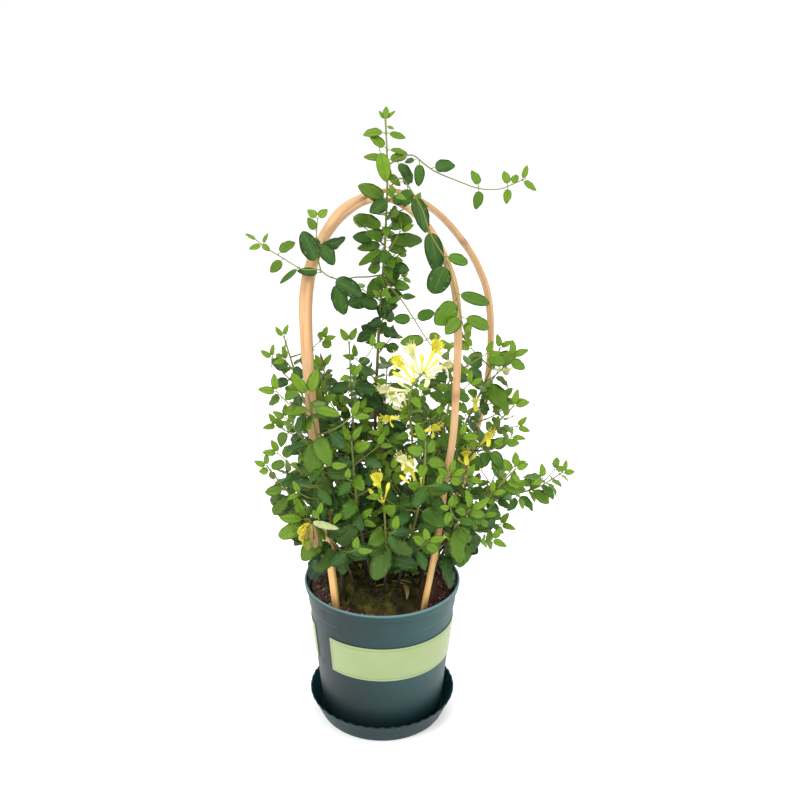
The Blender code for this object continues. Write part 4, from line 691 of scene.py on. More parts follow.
# From "first" to "last", or to its tip, a stem carries pairs of leaves that turn by a quarter each
# time. "gap" and "leaf" are the spacing and the leaf's length at its foot and its tip. "radius" is
# given the same way. "shoots" are side shoots: distance along, azimuth, rise, length, leaf length.
STEMS = {
    "leader_stem": {
        "route": [(-8, 8, 140), (-8, 8, 200), (-9, 7, 300), (-7, 4, 390), (-3, 0, 480), (2, -5, 550),
                  (5, -13, 616), (5, -10, 655), (3, -8, 697)],
        "radius": (2.6, 0.8), "leaves": LEADER_LEAVES, "first": 90, "last": 305, "gap": (34, 26),
        "leaf": (36, 26), "turn": 20,
        "shoots": [(150, 190, 30, 55, 25), (215, 340, 35, 55, 22), (400, 350, 45, 30, 14)],
        "branches": {
            "garland": {"parent": "main", "at": 478, "radius": (0.9, 0.6), "leaves": GARLAND_LEAVES,
                        "route": [(10, -17, 627), (19, -22, 634), (26, -32, 627), (33, -43, 617),
                                  (40, -53, 605), (46, -64, 587), (54, -75, 573), (64, -84, 557),
                                  (71, -91, 530), (77, -95, 506), (83, -96, 484)]},
            "right_tendril": {"parent": "main", "at": 507, "radius": (0.8, 0.5),
                              "leaves": RIGHT_TENDRIL_LEAVES,
                              "route": [(20, -14, 654), (31, -18, 656), (42, -20, 648), (54, -21, 640),
                                        (74, -20, 632), (97, -20, 624), (117, -20, 623),
                                        (132, -20, 628), (145, -20, 634)]},
            "left_tendril": {"parent": "main", "at": 394, "radius": (0.9, 0.5),
                             "leaves": LEFT_TENDRIL_LEAVES,
                             "route": [(-14, -14, 533), (-28, -34, 536), (-40, -54, 537), (-52, -70, 543),
                                       (-62, -82, 552), (-77, -86, 553), (-95, -84, 563),
                                       (-113, -82, 574), (-122, -80, 581)]},
            "cluster": {"parent": "left_tendril", "at": 100, "radius": (0.8, 0.5), "leaves": CLUSTER_LEAVES,
                        "route": [(-62, -80, 562), (-64, -79, 574), (-63, -76, 588), (-62, -73, 600)]},
            "thin_shoot": {"parent": "main", "at": 392, "radius": (0.8, 0.5), "leaves": THIN_SHOOT_LEAVES,
                           "route": [(10, -16, 521), (21, -23, 509), (33, -30, 492), (46, -36, 472),
                                     (54, -38, 462)]}}},
    "left_vine": {
        "route": [(-38, -46, 140), (-42, -54, 185), (-50, -80, 250), (-57, -97, 321), (-64, -102, 378),
                  (-70, -101, 411), (-73, -99, 430)],
        "radius": (2.0, 0.9), "first": 128, "gap": (34, 19), "leaf": (38, 30), "turn": 60,
        "leaves": [(256, 240, -70, 40, 26), (261, 300, -45, 36, 22), (222, 185, -10, 32, 16),
                   (220, 265, -78, 54, 26), (285, 200, 5, 30, 12), (286, 340, 0, 30, 12),
                   (282, 265, -8, 28, 14)],
        "shoots": [(205, 170, 20, 55, 26)]},
    "left_high": {
        "route": [(-32, -4, 140), (-42, -12, 220), (-62, -27, 330), (-85, -37, 410), (-102, -42, 476)],
        "radius": (2.0, 0.8), "first": 120, "gap": (34, 21), "leaf": (34, 15), "turn": 0,
        "shoots": [(170, 150, 40, 60, 26), (225, 215, 15, 55, 24)]},
    "left_mid": {
        "route": [(-24, 14, 140), (-40, -8, 240), (-54, -22, 340), (-62, -32, 440)],
        "radius": (1.9, 0.8), "first": 110, "gap": (34, 20), "leaf": (32, 18), "turn": 30,
        "shoots": [(160, 110, 30, 55, 25), (225, 20, 30, 50, 22)]},
    "mid_left": {
        "route": [(-14, -20, 140), (-24, -26, 260), (-31, -29, 370), (-35, -26, 466)],
        "radius": (1.9, 0.8), "first": 110, "gap": (34, 20), "leaf": (34, 19), "turn": 70,
        "leaves": [(205, 255, -60, 32, 19)],
        "shoots": [(150, 250, 20, 50, 27), (230, 150, 35, 50, 22)]},
    "left_low": {
        "route": [(-38, -22, 140), (-48, -44, 208), (-72, -66, 270), (-96, -84, 315), (-119, -88, 350)],
        "radius": (1.9, 0.7), "first": 128, "gap": (30, 18), "leaf": (36, 16), "turn": 10,
        "leaves": [(90, 196, -36, 40, 28), (196, 200, -42, 30, 15), (198, 60, 72, 22, 10)],
        "shoots": [(150, 240, 0, 55, 26)]},
    "left_low_front": {
        "route": [(-24, -36, 140), (-33, -62, 205), (-46, -92, 258), (-64, -104, 284), (-80, -106, 298)],
        "radius": (1.8, 0.8), "first": 136, "gap": (28, 20), "leaf": (42, 28), "turn": 50,
        "leaves": [(186, 190, -34, 38, 17)],
        "shoots": [(134, 300, 10, 45, 30)]},
    "front_left": {
        "route": [(-6, -32, 140), (-14, -57, 215), (-22, -80, 270), (-28, -96, 330), (-31, -98, 380)],
        "radius": (1.9, 0.8), "first": 132, "gap": (32, 20), "leaf": (40, 22), "turn": 15,
        "leaves": [(136, 195, -28, 36, 18)],
        "shoots": [(150, 160, 20, 50, 28), (190, 20, 20, 45, 26)]},
    "front_low": {
        "route": [(2, -44, 140), (3, -58, 190), (4, -76, 232), (4, -94, 268), (2, -99, 312)],
        "radius": (1.8, 0.9), "first": 110, "gap": (24, 16), "leaf": (40, 26), "turn": 0,
        "leaves": [(138, 240, -68, 50, 24), (140, 340, -35, 36, 18)],
        "shoots": []},
    "front_right": {
        "route": [(14, -34, 140), (21, -56, 215), (32, -80, 270), (42, -96, 330), (44, -98, 380)],
        "radius": (1.9, 0.8), "first": 90, "gap": (32, 20), "leaf": (40, 24), "turn": 40,
        "leaves": [(140, 255, -74, 46, 20)],
        "shoots": [(110, 300, 25, 50, 30), (170, 200, 20, 45, 26)]},
    "flower_stem": {
        "route": [(22, -20, 140), (27, -34, 230), (32, -45, 300), (32, -56, 364), (28, -61, 405),
                  (31, -62, 428), (42, -63, 442)],
        "radius": (1.9, 1.1), "first": 130, "last": 280, "gap": (38, 22), "leaf": (34, 26), "turn": 80,
        "shoots": [(160, 320, 30, 50, 26)]},
    "right_spray": {
        "route": [(34, -32, 140), (48, -42, 205), (72, -52, 250), (102, -64, 290), (125, -66, 318),
                  (142, -62, 336)],
        "radius": (1.9, 0.7), "first": 85, "gap": (30, 18), "leaf": (38, 18), "turn": 30,
        "shoots": [(120, 300, 0, 55, 28), (165, 110, 40, 50, 24)]},
    "right_long": {
        "route": [(42, 4, 140), (62, 2, 195), (98, -4, 250), (130, -8, 277), (156, -10, 285),
                  (178, -12, 294), (203, -13, 312)],
        "radius": (1.9, 0.6), "first": 95, "gap": (32, 20), "leaf": (34, 17), "turn": 30,
        "leaves": [(207, 350, -28, 30, 14), (206, 20, 45, 22, 13)],
        "shoots": [(110, 320, 10, 60, 28)]},
    "right_mid": {
        "route": [(33, -11, 140), (53, -17, 230), (84, -22, 310), (113, -27, 360), (142, -30, 396)],
        "radius": (1.9, 0.7), "first": 115, "gap": (32, 19), "leaf": (34, 20), "turn": 0,
        "shoots": [(150, 350, 0, 60, 26), (215, 300, 20, 55, 25)]},
    "right_high": {
        "route": [(27, 12, 140), (48, 11, 240), (82, 12, 330), (110, 8, 400), (129, 2, 452)],
        "radius": (2.0, 0.8), "first": 120, "gap": (34, 21), "leaf": (34, 18), "turn": 45,
        "leaves": [(312, 340, 25, 26, 18), (286, 310, -30, 40, 24)],
        "shoots": [(180, 60, 35, 60, 26), (230, 350, 20, 60, 24)]},
    "right_inner": {
        "route": [(8, -10, 140), (36, -32, 250), (58, -50, 340), (72, -60, 420), (82, -62, 476)],
        "radius": (1.9, 0.8), "first": 130, "gap": (34, 20), "leaf": (34, 18), "turn": 20,
        "leaves": [(272, 330, -66, 32, 18), (250, 340, -70, 30, 14)],
        "shoots": [(180, 280, 10, 50, 28), (250, 160, 30, 45, 22)]},
    "right_low": {
        "route": [(46, -16, 140), (60, -34, 200), (72, -62, 250), (80, -84, 284), (92, -90, 302)],
        "radius": (1.8, 0.8), "first": 90, "gap": (26, 17), "leaf": (42, 26), "turn": 10,
        "leaves": [(158, 285, -80, 48, 20), (160, 330, -60, 34, 16)],
        "shoots": []},
    "back_left": {
        "route": [(-18, 28, 140), (-37, 46, 250), (-58, 68, 330), (-80, 86, 395)],
        "radius": (1.9, 0.8), "first": 100, "gap": (34, 22), "leaf": (36, 20), "turn": 0,
        "shoots": [(150, 100, 25, 60, 28), (210, 170, 25, 55, 24)]},
    "back_centre": {
        "route": [(-2, 32, 140), (0, 56, 250), (2, 84, 330), (6, 106, 400)],
        "radius": (1.9, 0.8), "first": 100, "gap": (34, 22), "leaf": (36, 20), "turn": 45,
        "shoots": [(150, 60, 20, 60, 28), (210, 140, 25, 55, 24)]},
    "back_right": {
        "route": [(14, 27, 140), (34, 48, 250), (60, 72, 330), (84, 94, 395)],
        "radius": (1.9, 0.8), "first": 100, "gap": (34, 22), "leaf": (36, 20), "turn": 20,
        "shoots": [(150, 30, 20, 60, 28), (210, 110, 25, 55, 24)]},
    "back_low_left": {
        "route": [(-38, 20, 140), (-58, 30, 200), (-90, 46, 240), (-114, 58, 280)],
        "radius": (1.8, 0.7), "first": 80, "gap": (30, 20), "leaf": (38, 20), "turn": 50,
        "leaves": [(90, 196, -20, 40, 24)],
        "shoots": [(110, 120, 10, 55, 30)]},
    "back_low_right": {
        "route": [(32, 28, 140), (54, 52, 200), (80, 82, 240), (98, 108, 285)],
        "radius": (1.8, 0.7), "first": 80, "gap": (30, 20), "leaf": (38, 20), "turn": 70,
        "shoots": [(110, 60, 10, 55, 30)]},
    "seedling": {
        "route": [(27, 1, 150), (27, 1, 166), (28, 0, 178)],
        "radius": (0.7, 0.6), "first": 30, "last": 0, "gap": (9, 9), "leaf": (9, 7), "turn": 0,
        "leaves": [(26, 200, 12, 10, 8), (26, 20, 12, 10, 8), (27, 285, 30, 8, 6)],
        "shoots": []},
}

# Blooms: the stem, distance along it, azimuth, rise, length, and whether it is fresh and still white
BLOOMS = {
    "bloom_top": ("flower_stem", 318, 10, 62, 42, False),
    "bloom_top_right": ("flower_stem", 317, 350, 24, 34, True),
    "bloom_upright": ("flower_stem", 306, 110, 72, 38, True),
    "bloom_top_left": ("flower_stem", 296, 165, 48, 40, False),
    "bloom_left": ("flower_stem", 288, 188, 2, 38, True),
    "bloom_front": ("flower_stem", 308, 285, 10, 32, True),
    "bloom_low_white": ("flower_stem", 262, 175, 42, 34, True),
    "bloom_low_yellow": ("flower_stem", 258, 195, -4, 32, False),
    "bloom_under_hoop": ("flower_stem", 236, 345, 20, 34, False),
    "bloom_heart": ("front_low", 182, 150, 74, 38, False),
    "bloom_centre": ("front_right", 196, 160, 62, 40, False),
    "bloom_centre_white": ("front_right", 216, 185, 38, 36, True),
    "bloom_right": ("right_mid", 196, 280, 55, 34, False),
    "bloom_right_far": ("right_mid", 222, 330, 60, 34, False),
    "bloom_high": ("right_high", 258, 265, 25, 32, False),
    "bloom_high_white": ("right_high", 304, 20, -15, 26, True),
}


class Route:
    """A stem's centre line in straight runs, with its radius falling evenly from foot to tip."""

    def __init__(self, points, radius, step):
        self.points, self.along = smooth_points(points, step)
        self.length = float(self.along[-1])
        self.radius = radius

    def at(self, distance):
        return np.array([np.interp(distance, self.along, self.points[:, axis]) for axis in range(3)])

    def heading(self, distance):
        return unit(self.at(min(distance + 4, self.length)) - self.at(max(distance - 4, 0)))

    def thick(self, distance):
        return self.radius[0] + (self.radius[1] - self.radius[0]) * np.asarray(distance) / self.length


class Leaf:
    """A blade with an ovate outline, folded up along its rib and curling down to its tip."""

    def __init__(self, root, toward, face, length, width, stalk, fold, curl):
        self.root, self.toward = root, toward
        self.side = unit(np.cross(face, toward))
        self.face = np.cross(toward, self.side)
        self.length, self.width, self.stalk = length, width, stalk
        self.fold, self.curl = fold, curl
        self.corners = 4 if length < SMALL_LEAF else 6 if length < BROAD_LEAF else 8

    def surface(self, t, u):
        """Point on the blade: t from its base to its tip, u from edge to edge.

        The rib is an arc of a circle. Half the width rises as the root of t and falls to a pointed
        tip as (1 - t) to the power 0.8; 2.38 makes it one at its fullest, below the middle.
        """
        t, u = np.asarray(t, float)[..., None], np.asarray(u, float)[..., None]
        bend = self.curl / self.length
        reach = self.stalk + (self.length - self.stalk) * t
        drop = (1 - np.cos(bend * reach)) / bend
        rib = self.root + np.sin(bend * reach) / bend * self.toward - drop * self.face
        lift = self.face * np.cos(bend * reach) + self.toward * np.sin(bend * reach)
        half = 0.5 * self.width * 2.38 * np.clip(t, 0, 1)**0.5 * np.clip(1 - t, 0, 1)**0.8
        return rib + half * (u * math.cos(self.fold) * self.side + np.abs(u) * math.sin(self.fold) * lift)

    def corner(self, angle):
        """Point of the outline; angle 0 is the root, half a turn is the tip."""
        if abs(angle) < 1e-6:
            return self.root
        return self.surface((1 - math.cos(angle)) / 2, np.sign(round(math.sin(angle), 6)))

    def triangles(self):
        """A foot and a tip that meet in a crease across the blade, or a fan for a large leaf."""
        rim = [self.corner(2 * math.pi * k / self.corners) for k in range(self.corners)]
        if self.corners == 4:
            return [np.array([rim[0], rim[1], rim[3]]), np.array([rim[1], rim[2], rim[3]])]
        middle = self.surface(0.5, 0.0)
        return [np.array([middle, a, b]) for a, b in zip(rim, rim[1:] + rim[:1])]


def spread(triangles, spacing=1.3):
    """Points over triangles, no further apart than the spacing."""
    points = []
    for triangle in triangles:
        longest = max(np.linalg.norm(triangle[k] - triangle[k - 1]) for k in range(3))
        n = max(1, math.ceil(longest / spacing))
        weights = np.array([(i / n, j / n, (n - i - j) / n) for i in range(n + 1) for j in range(n + 1 - i)])
        points.append(weights @ triangle)
    return np.vstack(points)


def tube_points(route, start=0.0):
    """Points on a stem's axis and skin."""
    reach = np.arange(start, route.length + 1.2, 1.2).clip(max=route.length)
    turns = np.arange(6) * math.pi / 3
    points = []
    for distance in reach:
        axis = route.heading(distance)
        across = unit(np.cross(axis, SKEW))
        ring = np.cos(turns)[:, None] * across + np.sin(turns)[:, None] * np.cross(axis, across)
        centre = route.at(distance)
        points.append(np.vstack([centre[None], centre + route.thick(distance) * ring]))
    return np.vstack(points)


class Space:
    """A grid of small cells that remembers which piece is in or near each of them."""

    cell = 1.6
    low = np.array([-160.0, -170.0, 130.0])
    high = np.array([250.0, 170.0, 730.0])
    near_by = np.array([(i, j, k) for i in (-1, 0, 1) for j in (-1, 0, 1) for k in (-1, 0, 1)])
    shared = -1

    def __init__(self):
        self.shape = np.ceil((self.high - self.low) / self.cell).astype(int)
        self.near = np.zeros(self.shape, np.int16)
        self.core = np.zeros(self.shape, bool)

    def cells(self, points):
        return np.unique(np.clip(((points - self.low) / self.cell).astype(int), 1, self.shape - 2), axis=0)

    def take(self, points, owner):
        cells = self.cells(points)
        self.core[tuple(cells.T)] = True
        cells = np.unique((cells[:, None] + self.near_by[None]).reshape(-1, 3), axis=0)
        held = self.near[tuple(cells.T)]
        self.near[tuple(cells.T)] = np.where((held == 0) | (held == owner), owner, self.shared)

    def keep_open(self, points):
        """Close the free cells in front of the points to leaves, so that a bloom isn't hidden."""
        for distance in np.arange(6.0, OPEN_VIEW, 1.5):
            cells = tuple(self.cells(points + distance * TOWARD_VIEWER).T)
            self.near[cells] = np.where(self.near[cells] == 0, -1, self.near[cells])

    def free(self, points, owner):
        """No other piece is near these points."""
        held = self.near[tuple(self.cells(points).T)]
        return not np.any((held != 0) & (held != owner))

    def empty(self, points):
        """No piece at all, of this owner either, is in these points' cells."""
        return not np.any(self.core[tuple(self.cells(points).T)])


def over_soil(points):
    """Some of these points are so low that they would be in the soil or in the pot."""
    return np.any((points[:, 2] < BALL_TOP + 4) & (np.hypot(points[:, 0], points[:, 1]) < POT_RIM_RADIUS + 4))


def outward(point):
    """Level direction away from the plant's middle, and to the front near the middle."""
    away = np.array([point[0] - 5.0, point[1] + 5.0, 0.0])
    if np.linalg.norm(away) < 26:
        away += np.array([0.0, -40.0, 0.0])
    return unit(away)


def leaf_on(route, distance, toward, length, width, draw, frontal):
    """A leaf whose root is inside the stem and whose upper face looks up, outward and ahead."""
    point = route.at(distance)
    thick = float(route.thick(distance))
    share = draw.uniform(0.1, 0.9) if frontal is None else frontal
    ahead = np.array([0.0, -1.0 if point[1] < 25 else 1.0, 0.0])
    face = 0.42 * UP + (1 - share) * outward(point) + share * ahead + 0.25 * draw.normal(size=3)
    stalk = min(5.0, 0.14 * length) + 0.6 * thick
    return Leaf(point, toward, face, length, width, stalk,
                fold=0.22 + 0.12 * draw.random(), curl=0.35 + 0.45 * draw.random())


class Stem:
    """One plant: its woody stem, its branches and shoots, and the leaves on them."""

    def __init__(self, name, plan, owner):
        self.name, self.plan, self.owner = name, plan, owner
        self.draw = np.random.default_rng(100 + owner)
        self.main = Route(plan["route"], plan["radius"], STEM_STEP)
        self.routes = {"main": self.main}
        for branch, own in plan.get("branches", {}).items():
            root = self.routes[own["parent"]].at(own["at"])
            self.routes[branch] = Route([tuple(root)] + own["route"], own["radius"], BRANCH_STEP)
        self.shoots = []
        self.leaves = []


def place_leaf(space, stem, route, distance, toward, length, width, exact):
    """Set a leaf, turned round its stem and shortened until it is clear of what is there."""
    distance = min(distance, route.length - 0.5)
    axis = route.heading(distance)
    for attempt, turn in enumerate(FINE_TURNS if exact else WIDE_TURNS):
        a = math.radians(turn)
        turned = (toward * math.cos(a) + np.cross(axis, toward) * math.sin(a)
                  + axis * np.dot(axis, toward) * (1 - math.cos(a)))
        scale = 1 - 0.04 * attempt
        draw = np.random.default_rng(int(1000 * distance) + stem.owner)
        leaf = leaf_on(route, distance, unit(turned), length * scale, width * scale, draw,
                       0.85 if exact else None)
        points = spread(leaf.triangles())
        reach = np.linalg.norm(points - leaf.root, axis=1)
        own = points[reach > max(5.0, 0.3 * leaf.length)]
        roomy = exact and leaf.length < 20 or space.empty(own)
        if not over_soil(points) and space.free(points, stem.owner) and roomy:
            space.take(points[reach > 3], stem.owner)
            leaf.route, leaf.distance = route, distance
            stem.leaves.append(leaf)
            return


def leaf_pairs(space, stem, route, first, last, gap, sizes, turn):
    """Pairs of leaves along a stem, each pair a quarter turn from the pair before."""
    distance, count = first, 0
    while distance < last - 3:
        share = (distance - first) / max(1.0, last - first)
        axis = route.heading(distance)
        across = unit(np.cross(axis, (0.0, -0.3, 1.0) if abs(axis[2]) < 0.9 else (0.2, -1.0, 0.0)))
        azimuth = math.radians(turn + 90 * count + stem.draw.uniform(-18, 18))
        for side in (0, math.pi):
            radial = math.cos(azimuth + side) * across + math.sin(azimuth + side) * np.cross(axis, across)
            lift = math.radians(stem.draw.uniform(15, 45))
            droop = 0.15 + 0.25 * stem.draw.random()
            toward = unit(math.cos(lift) * radial + math.sin(lift) * axis - droop * UP)
            size = (sizes[0] + (sizes[1] - sizes[0]) * share) * stem.draw.uniform(0.82, 1.12)
            width = size * stem.draw.uniform(0.52, 0.64)
            place_leaf(space, stem, route, distance, toward, size, width, False)
        distance += SPACING * (gap[0] + (gap[1] - gap[0]) * share)
        count += 1


def tip_leaves(space, stem, route, size):
    """The last pair, which stands close to the stem's own direction."""
    axis = route.heading(route.length)
    across = unit(np.cross(axis, (0.3, -1, 0.4)))
    for side in (1, -1):
        place_leaf(space, stem, route, route.length - 1, unit(axis + 0.55 * side * across),
                   0.95 * size, 0.42 * size, True)


def side_shoot(space, stem, distance, azimuth, rise, length, size):
    """A thin shoot that leaves the stem and bends upward, swung aside until it is clear."""
    root = stem.main.at(distance)
    for swing in SHOOT_SWINGS:
        toward = aim(azimuth + swing, rise)
        points = [root, root + 0.35 * length * toward, root + 0.7 * length * toward + 0.06 * length * UP,
                  root + 0.95 * length * toward + 0.2 * length * UP]
        route = Route(points, (0.9, 0.5), SHOOT_STEP)
        skin = tube_points(route, start=4)
        if space.free(skin, stem.owner) and not over_soil(skin):
            space.take(skin, stem.owner)
            stem.shoots.append((route, size))
            return


class Bloom:
    """A long slender tube that opens into a broad upper lip and a narrow lower lip round a style."""

    def __init__(self, root, toward, length, white):
        self.root, self.toward, self.length, self.white = root, toward, length, white
        self.side = unit(np.cross(toward, UPPER_LIP))
        self.top = np.cross(self.side, toward)
        tube = 0.58 * length
        bow = 0.05 * length
        mouth = root + tube * toward + bow * self.top
        self.tube = Route([root, root + 0.5 * tube * toward, mouth], (0.75, 1.7), 0.5 * tube)
        mouth_in = mouth - 1.5 * toward
        petal = 0.44 * length
        self.upper = Leaf(mouth_in, unit(toward + 0.75 * self.top), unit(self.top - 0.75 * toward) * -1,
                          petal, 0.31 * length, 1.0, fold=0.3, curl=-1.5)
        self.lower = Leaf(mouth_in, unit(toward - 0.6 * self.top), unit(self.top + 0.6 * toward),
                          petal, 0.1 * length, 1.0, fold=0.1, curl=1.4)
        start = mouth - 0.7 * toward
        reach = 0.4 * length
        self.style = Route([start, start + reach * unit(toward + 0.12 * self.top)], (0.5, 0.4), reach)

    def points(self):
        return np.vstack([tube_points(self.tube, 1.5), tube_points(self.style),
                          spread(self.upper.triangles()), spread(self.lower.triangles())])


def place_bloom(space, stems, owner, plan):
    """A bloom beside its stem, turned aside and lowered until it is clear of what is there."""
    name, distance, azimuth, rise, length, white = plan
    route = stems[name].main
    distance = min(distance, route.length - 1)
    for attempt, swing in enumerate(BLOOM_SWINGS):
        toward = aim(azimuth + swing, rise - 4 * attempt)
        axis = route.heading(distance)
        level = unit(toward - axis * np.dot(toward, axis))
        root = route.at(distance) + level * (float(route.thick(distance)) + CLEAR) + 0.8 * (toward - level)
        bloom = Bloom(root + level * 0.75 * abs(np.dot(toward, axis)), toward, length, white)
        points = bloom.points()
        away = points[np.linalg.norm(points - root, axis=1) > 5]
        if space.free(away, owner):
            space.take(away, owner)
            return bloom
    return None


def grow():
    """All stems, leaves and blooms, in the order in which they take their room."""
    space = Space()
    owner = 1
    for hoop in HOOPS.values():
        centres, broad, flat, width = strip_frames(hoop, 2.0)
        skin = [centres + a * width[:, None] * broad + b * hoop["thick"] * flat
                for a in np.linspace(-0.5, 0.5, 8) for b in (-0.5, 0.0, 0.5)]
        space.take(np.vstack(skin), owner)
        owner += 1
    turn = np.linspace(0, 2 * math.pi, 400, endpoint=False)
    for height in np.arange(140, POT_TOP + 1.2, 1.2):
        for radius in np.arange(86, POT_RIM_RADIUS + 1, 1.5):
            level = np.full_like(turn, height)
            space.take(np.stack([radius * np.cos(turn), radius * np.sin(turn), level], axis=1), owner)
    owner += 1
    stems = {}
    for name, plan in STEMS.items():
        stems[name] = Stem(name, plan, owner)
        for route in stems[name].routes.values():
            space.take(tube_points(route), owner)
        owner += 1
    blooms = {}
    for name, plan in BLOOMS.items():
        blooms[name] = place_bloom(space, stems, owner, plan)
        owner += 1
    for stem in stems.values():
        for distance, azimuth, rise, length, width in stem.plan.get("leaves", []):
            place_leaf(space, stem, stem.main, distance, aim(azimuth, rise), length, width, True)
        for branch, own in stem.plan.get("branches", {}).items():
            for distance, azimuth, rise, length, width in own["leaves"]:
                toward = aim(azimuth, rise)
                place_leaf(space, stem, stem.routes[branch], distance, toward, length, width, True)
    for bloom in blooms.values():
        space.keep_open(np.vstack([spread(bloom.upper.triangles()), spread(bloom.lower.triangles())]))
    for stem in stems.values():
        for shoot in stem.plan["shoots"]:
            side_shoot(space, stem, *shoot)
    for stem in stems.values():
        plan = stem.plan
        last = plan.get("last", stem.main.length)
        leaf_pairs(space, stem, stem.main, plan["first"], last, plan["gap"], plan["leaf"], plan["turn"])
        if "last" not in plan:
            tip_leaves(space, stem, stem.main, plan["leaf"][1])
        for count, (route, size) in enumerate(stem.shoots):
            leaf_pairs(space, stem, route, 24, route.length, (24, 20), (size, TIP_SHARE * size), 45 * count)
            tip_leaves(space, stem, route, TIP_SHARE * size)
    return stems, blooms, space


def drawn_shoots(space, stem, distances, rise, length, size):
    """Side shoots at these distances, each drawn from ranges of rise, length and leaf length."""
    for distance in distances:
        side_shoot(space, stem, distance, stem.draw.uniform(0, 360), stem.draw.uniform(*rise),
                   stem.draw.uniform(*length), stem.draw.uniform(*size))


def fill_in(space, stems):
    """More leaves and short side shoots in the gaps between the pairs, wherever they find room.

    Those that reach out of the box of the solids are dropped.
    """
    slack = 0.5
    low, high = np.array(solid_box[0]) / MM - slack, np.array(solid_box[1]) / MM + slack

    def inside(points):
        return np.all(points > low) and np.all(points < high)

    for stem in stems.values():
        plan = stem.plan
        if stem.name == "seedling":
            continue
        last = plan.get("last", stem.main.length)
        grown = list(stem.shoots)
        for third in (1, 2):
            start = plan["first"] + third / 3 * SPACING * plan["gap"][0]
            sizes = [0.9 * size for size in plan["leaf"]]
            leaf_pairs(space, stem, stem.main, start, last, plan["gap"], sizes, plan["turn"] + 30 * third)
        if stem.name == "leader_stem":
            leaf_pairs(space, stem, stem.main, 330, 480, (10, 9), (29, 26), 10)
            drawn_shoots(space, stem, np.arange(305, 476, 15), (0, 50), (24, 40), (21, 28))
        if stem.name == "flower_stem":
            leaf_pairs(space, stem, stem.main, 236, stem.main.length - 3, (6, 5), (21, 17), 25)
        drawn_shoots(space, stem, np.arange(plan["first"] + 4, last - 20, 18), (5, 45), (30, 46), (22, 30))
        for route, size in grown:
            leaf_pairs(space, stem, route, 14, route.length, (12, 10), (size, TIP_SHARE * size), 45)
        for route, size in stem.shoots[len(grown):]:
            leaf_pairs(space, stem, route, 13, route.length, (10, 8), (size, TIP_SHARE * size), 0)
            tip_leaves(space, stem, route, TIP_SHARE * size)
        stem.shoots = [shoot for shoot in stem.shoots if inside(shoot[0].points)]
        stem.leaves = [leaf for leaf in stem.leaves if inside(leaf.route.points)
                       and inside(leaf.surface([0.5, 0.5, 1.0], [-1.0, 1.0, 0.0]))]


def leaf_pattern(rows, columns, pointed=True):
    """Places along and across a two-skinned leaf, the skin's side of each point, and the faces.

    The two skins share their points along the edge and at both ends, so that the blade is closed. The
    ends are single points on a pointed leaf.
    """
    t = (1 - np.cos(np.linspace(0, math.pi, rows))) / 2
    u = np.linspace(-1, 1, columns)
    sheet = []
    for side in (1, -1):
        for i in range(rows):
            at_end = i in (0, rows - 1)
            sheet += [(t[i], 0.0 if pointed and at_end else u[j], 0 if at_end or abs(u[j]) == 1 else side)
                      for j in range(columns)]
    spots, index = np.unique(np.round(sheet, 6), axis=0, return_inverse=True)
    squares = grid_faces(rows, columns, False)
    squares = np.concatenate([squares[:, ::-1], rows * columns + squares])
    faces = [list(dict.fromkeys(face)) for face in index.reshape(-1)[squares].tolist()]
    return *spots.T, faces


def arc(root, toward, face, bend, reach):
    """Points at that reach along an arc that bends away from its face, and the upward way at each."""
    turn = bend * reach
    lift = face * np.cos(turn)[..., None] + toward * np.sin(turn)[..., None]
    drop = ((1 - np.cos(turn)) / bend)[..., None]
    return root + (np.sin(turn) / bend)[..., None] * toward - drop * face, lift


def leaf_points(leaves, pattern, draw):
    """Points of all the leaves at once, from the same arc and outline as the solids' leaves.

    Half the width rises as t to the power 0.46 and falls as (1 - t) to a power that is smaller, and the
    tip blunter, on a long leaf. The edge waves gently and rolls down, the blade twists a little towards
    its tip, and the rib lies in a shallow groove.
    """
    t, u, side = pattern[:3]
    root, toward, across, face = [np.array([getattr(leaf, name) for leaf in leaves])[:, None]
                                  for name in ("root", "toward", "side", "face")]
    length, width, stalk, fold, curl = np.array([(leaf.length, leaf.width, leaf.stalk, leaf.fold, leaf.curl)
                                                 for leaf in leaves], float).T[:, :, None]
    rib, lift = arc(root, toward, face, curl / length, stalk + (length - stalk) * t)
    blunt = np.clip(1.02 - 0.012 * length, 0.60, 0.85)
    peak = (0.46 / (0.46 + blunt))**0.46 * (blunt / (0.46 + blunt))**blunt
    half = 0.5 * width * t**0.46 * (1 - t)**blunt / peak
    swell = np.sqrt(4 * t * (1 - t))
    twist = draw.uniform(-0.35, 0.35, (len(leaves), 1)) * t
    wave = 0.05 * width * np.sin(2 * math.pi * (2.5 * t + draw.uniform(0, 1, (len(leaves), 1)))) * u**2
    groove = -0.035 * width * np.exp(-(u / 0.12)**2) * swell
    depth = 0.16 * side * (1 - u**2) * swell
    sway = (u * np.cos(fold) * half)[..., None] * across
    roll = -0.055 * width * np.abs(u)**3 * swell
    up = np.abs(u) * np.sin(fold) * half + wave * swell + groove + roll + depth + twist * u * half
    return rib + sway + up[..., None] * lift


def skin(places, radii, sides):
    """Points and faces of a round stem through the places, closed with a point at each end."""
    places, radii = np.asarray(places, float), np.asarray(radii, float)
    axis = unit_rows(np.gradient(places, axis=0))
    across = unit_rows(np.cross(axis, SKEW))
    turn = np.linspace(0, 2 * math.pi, sides, endpoint=False)[:, None]
    ring = np.cos(turn) * across[:, None] + np.sin(turn) * np.cross(axis, across)[:, None]
    points = (places[:, None] + radii[:, None, None] * ring).reshape(-1, 3)
    ends = np.stack([places[0] - 0.3 * radii[0] * axis[0], places[-1] + 0.8 * radii[-1] * axis[-1]])
    return np.vstack([points, ends]), ring_faces(len(places), sides)


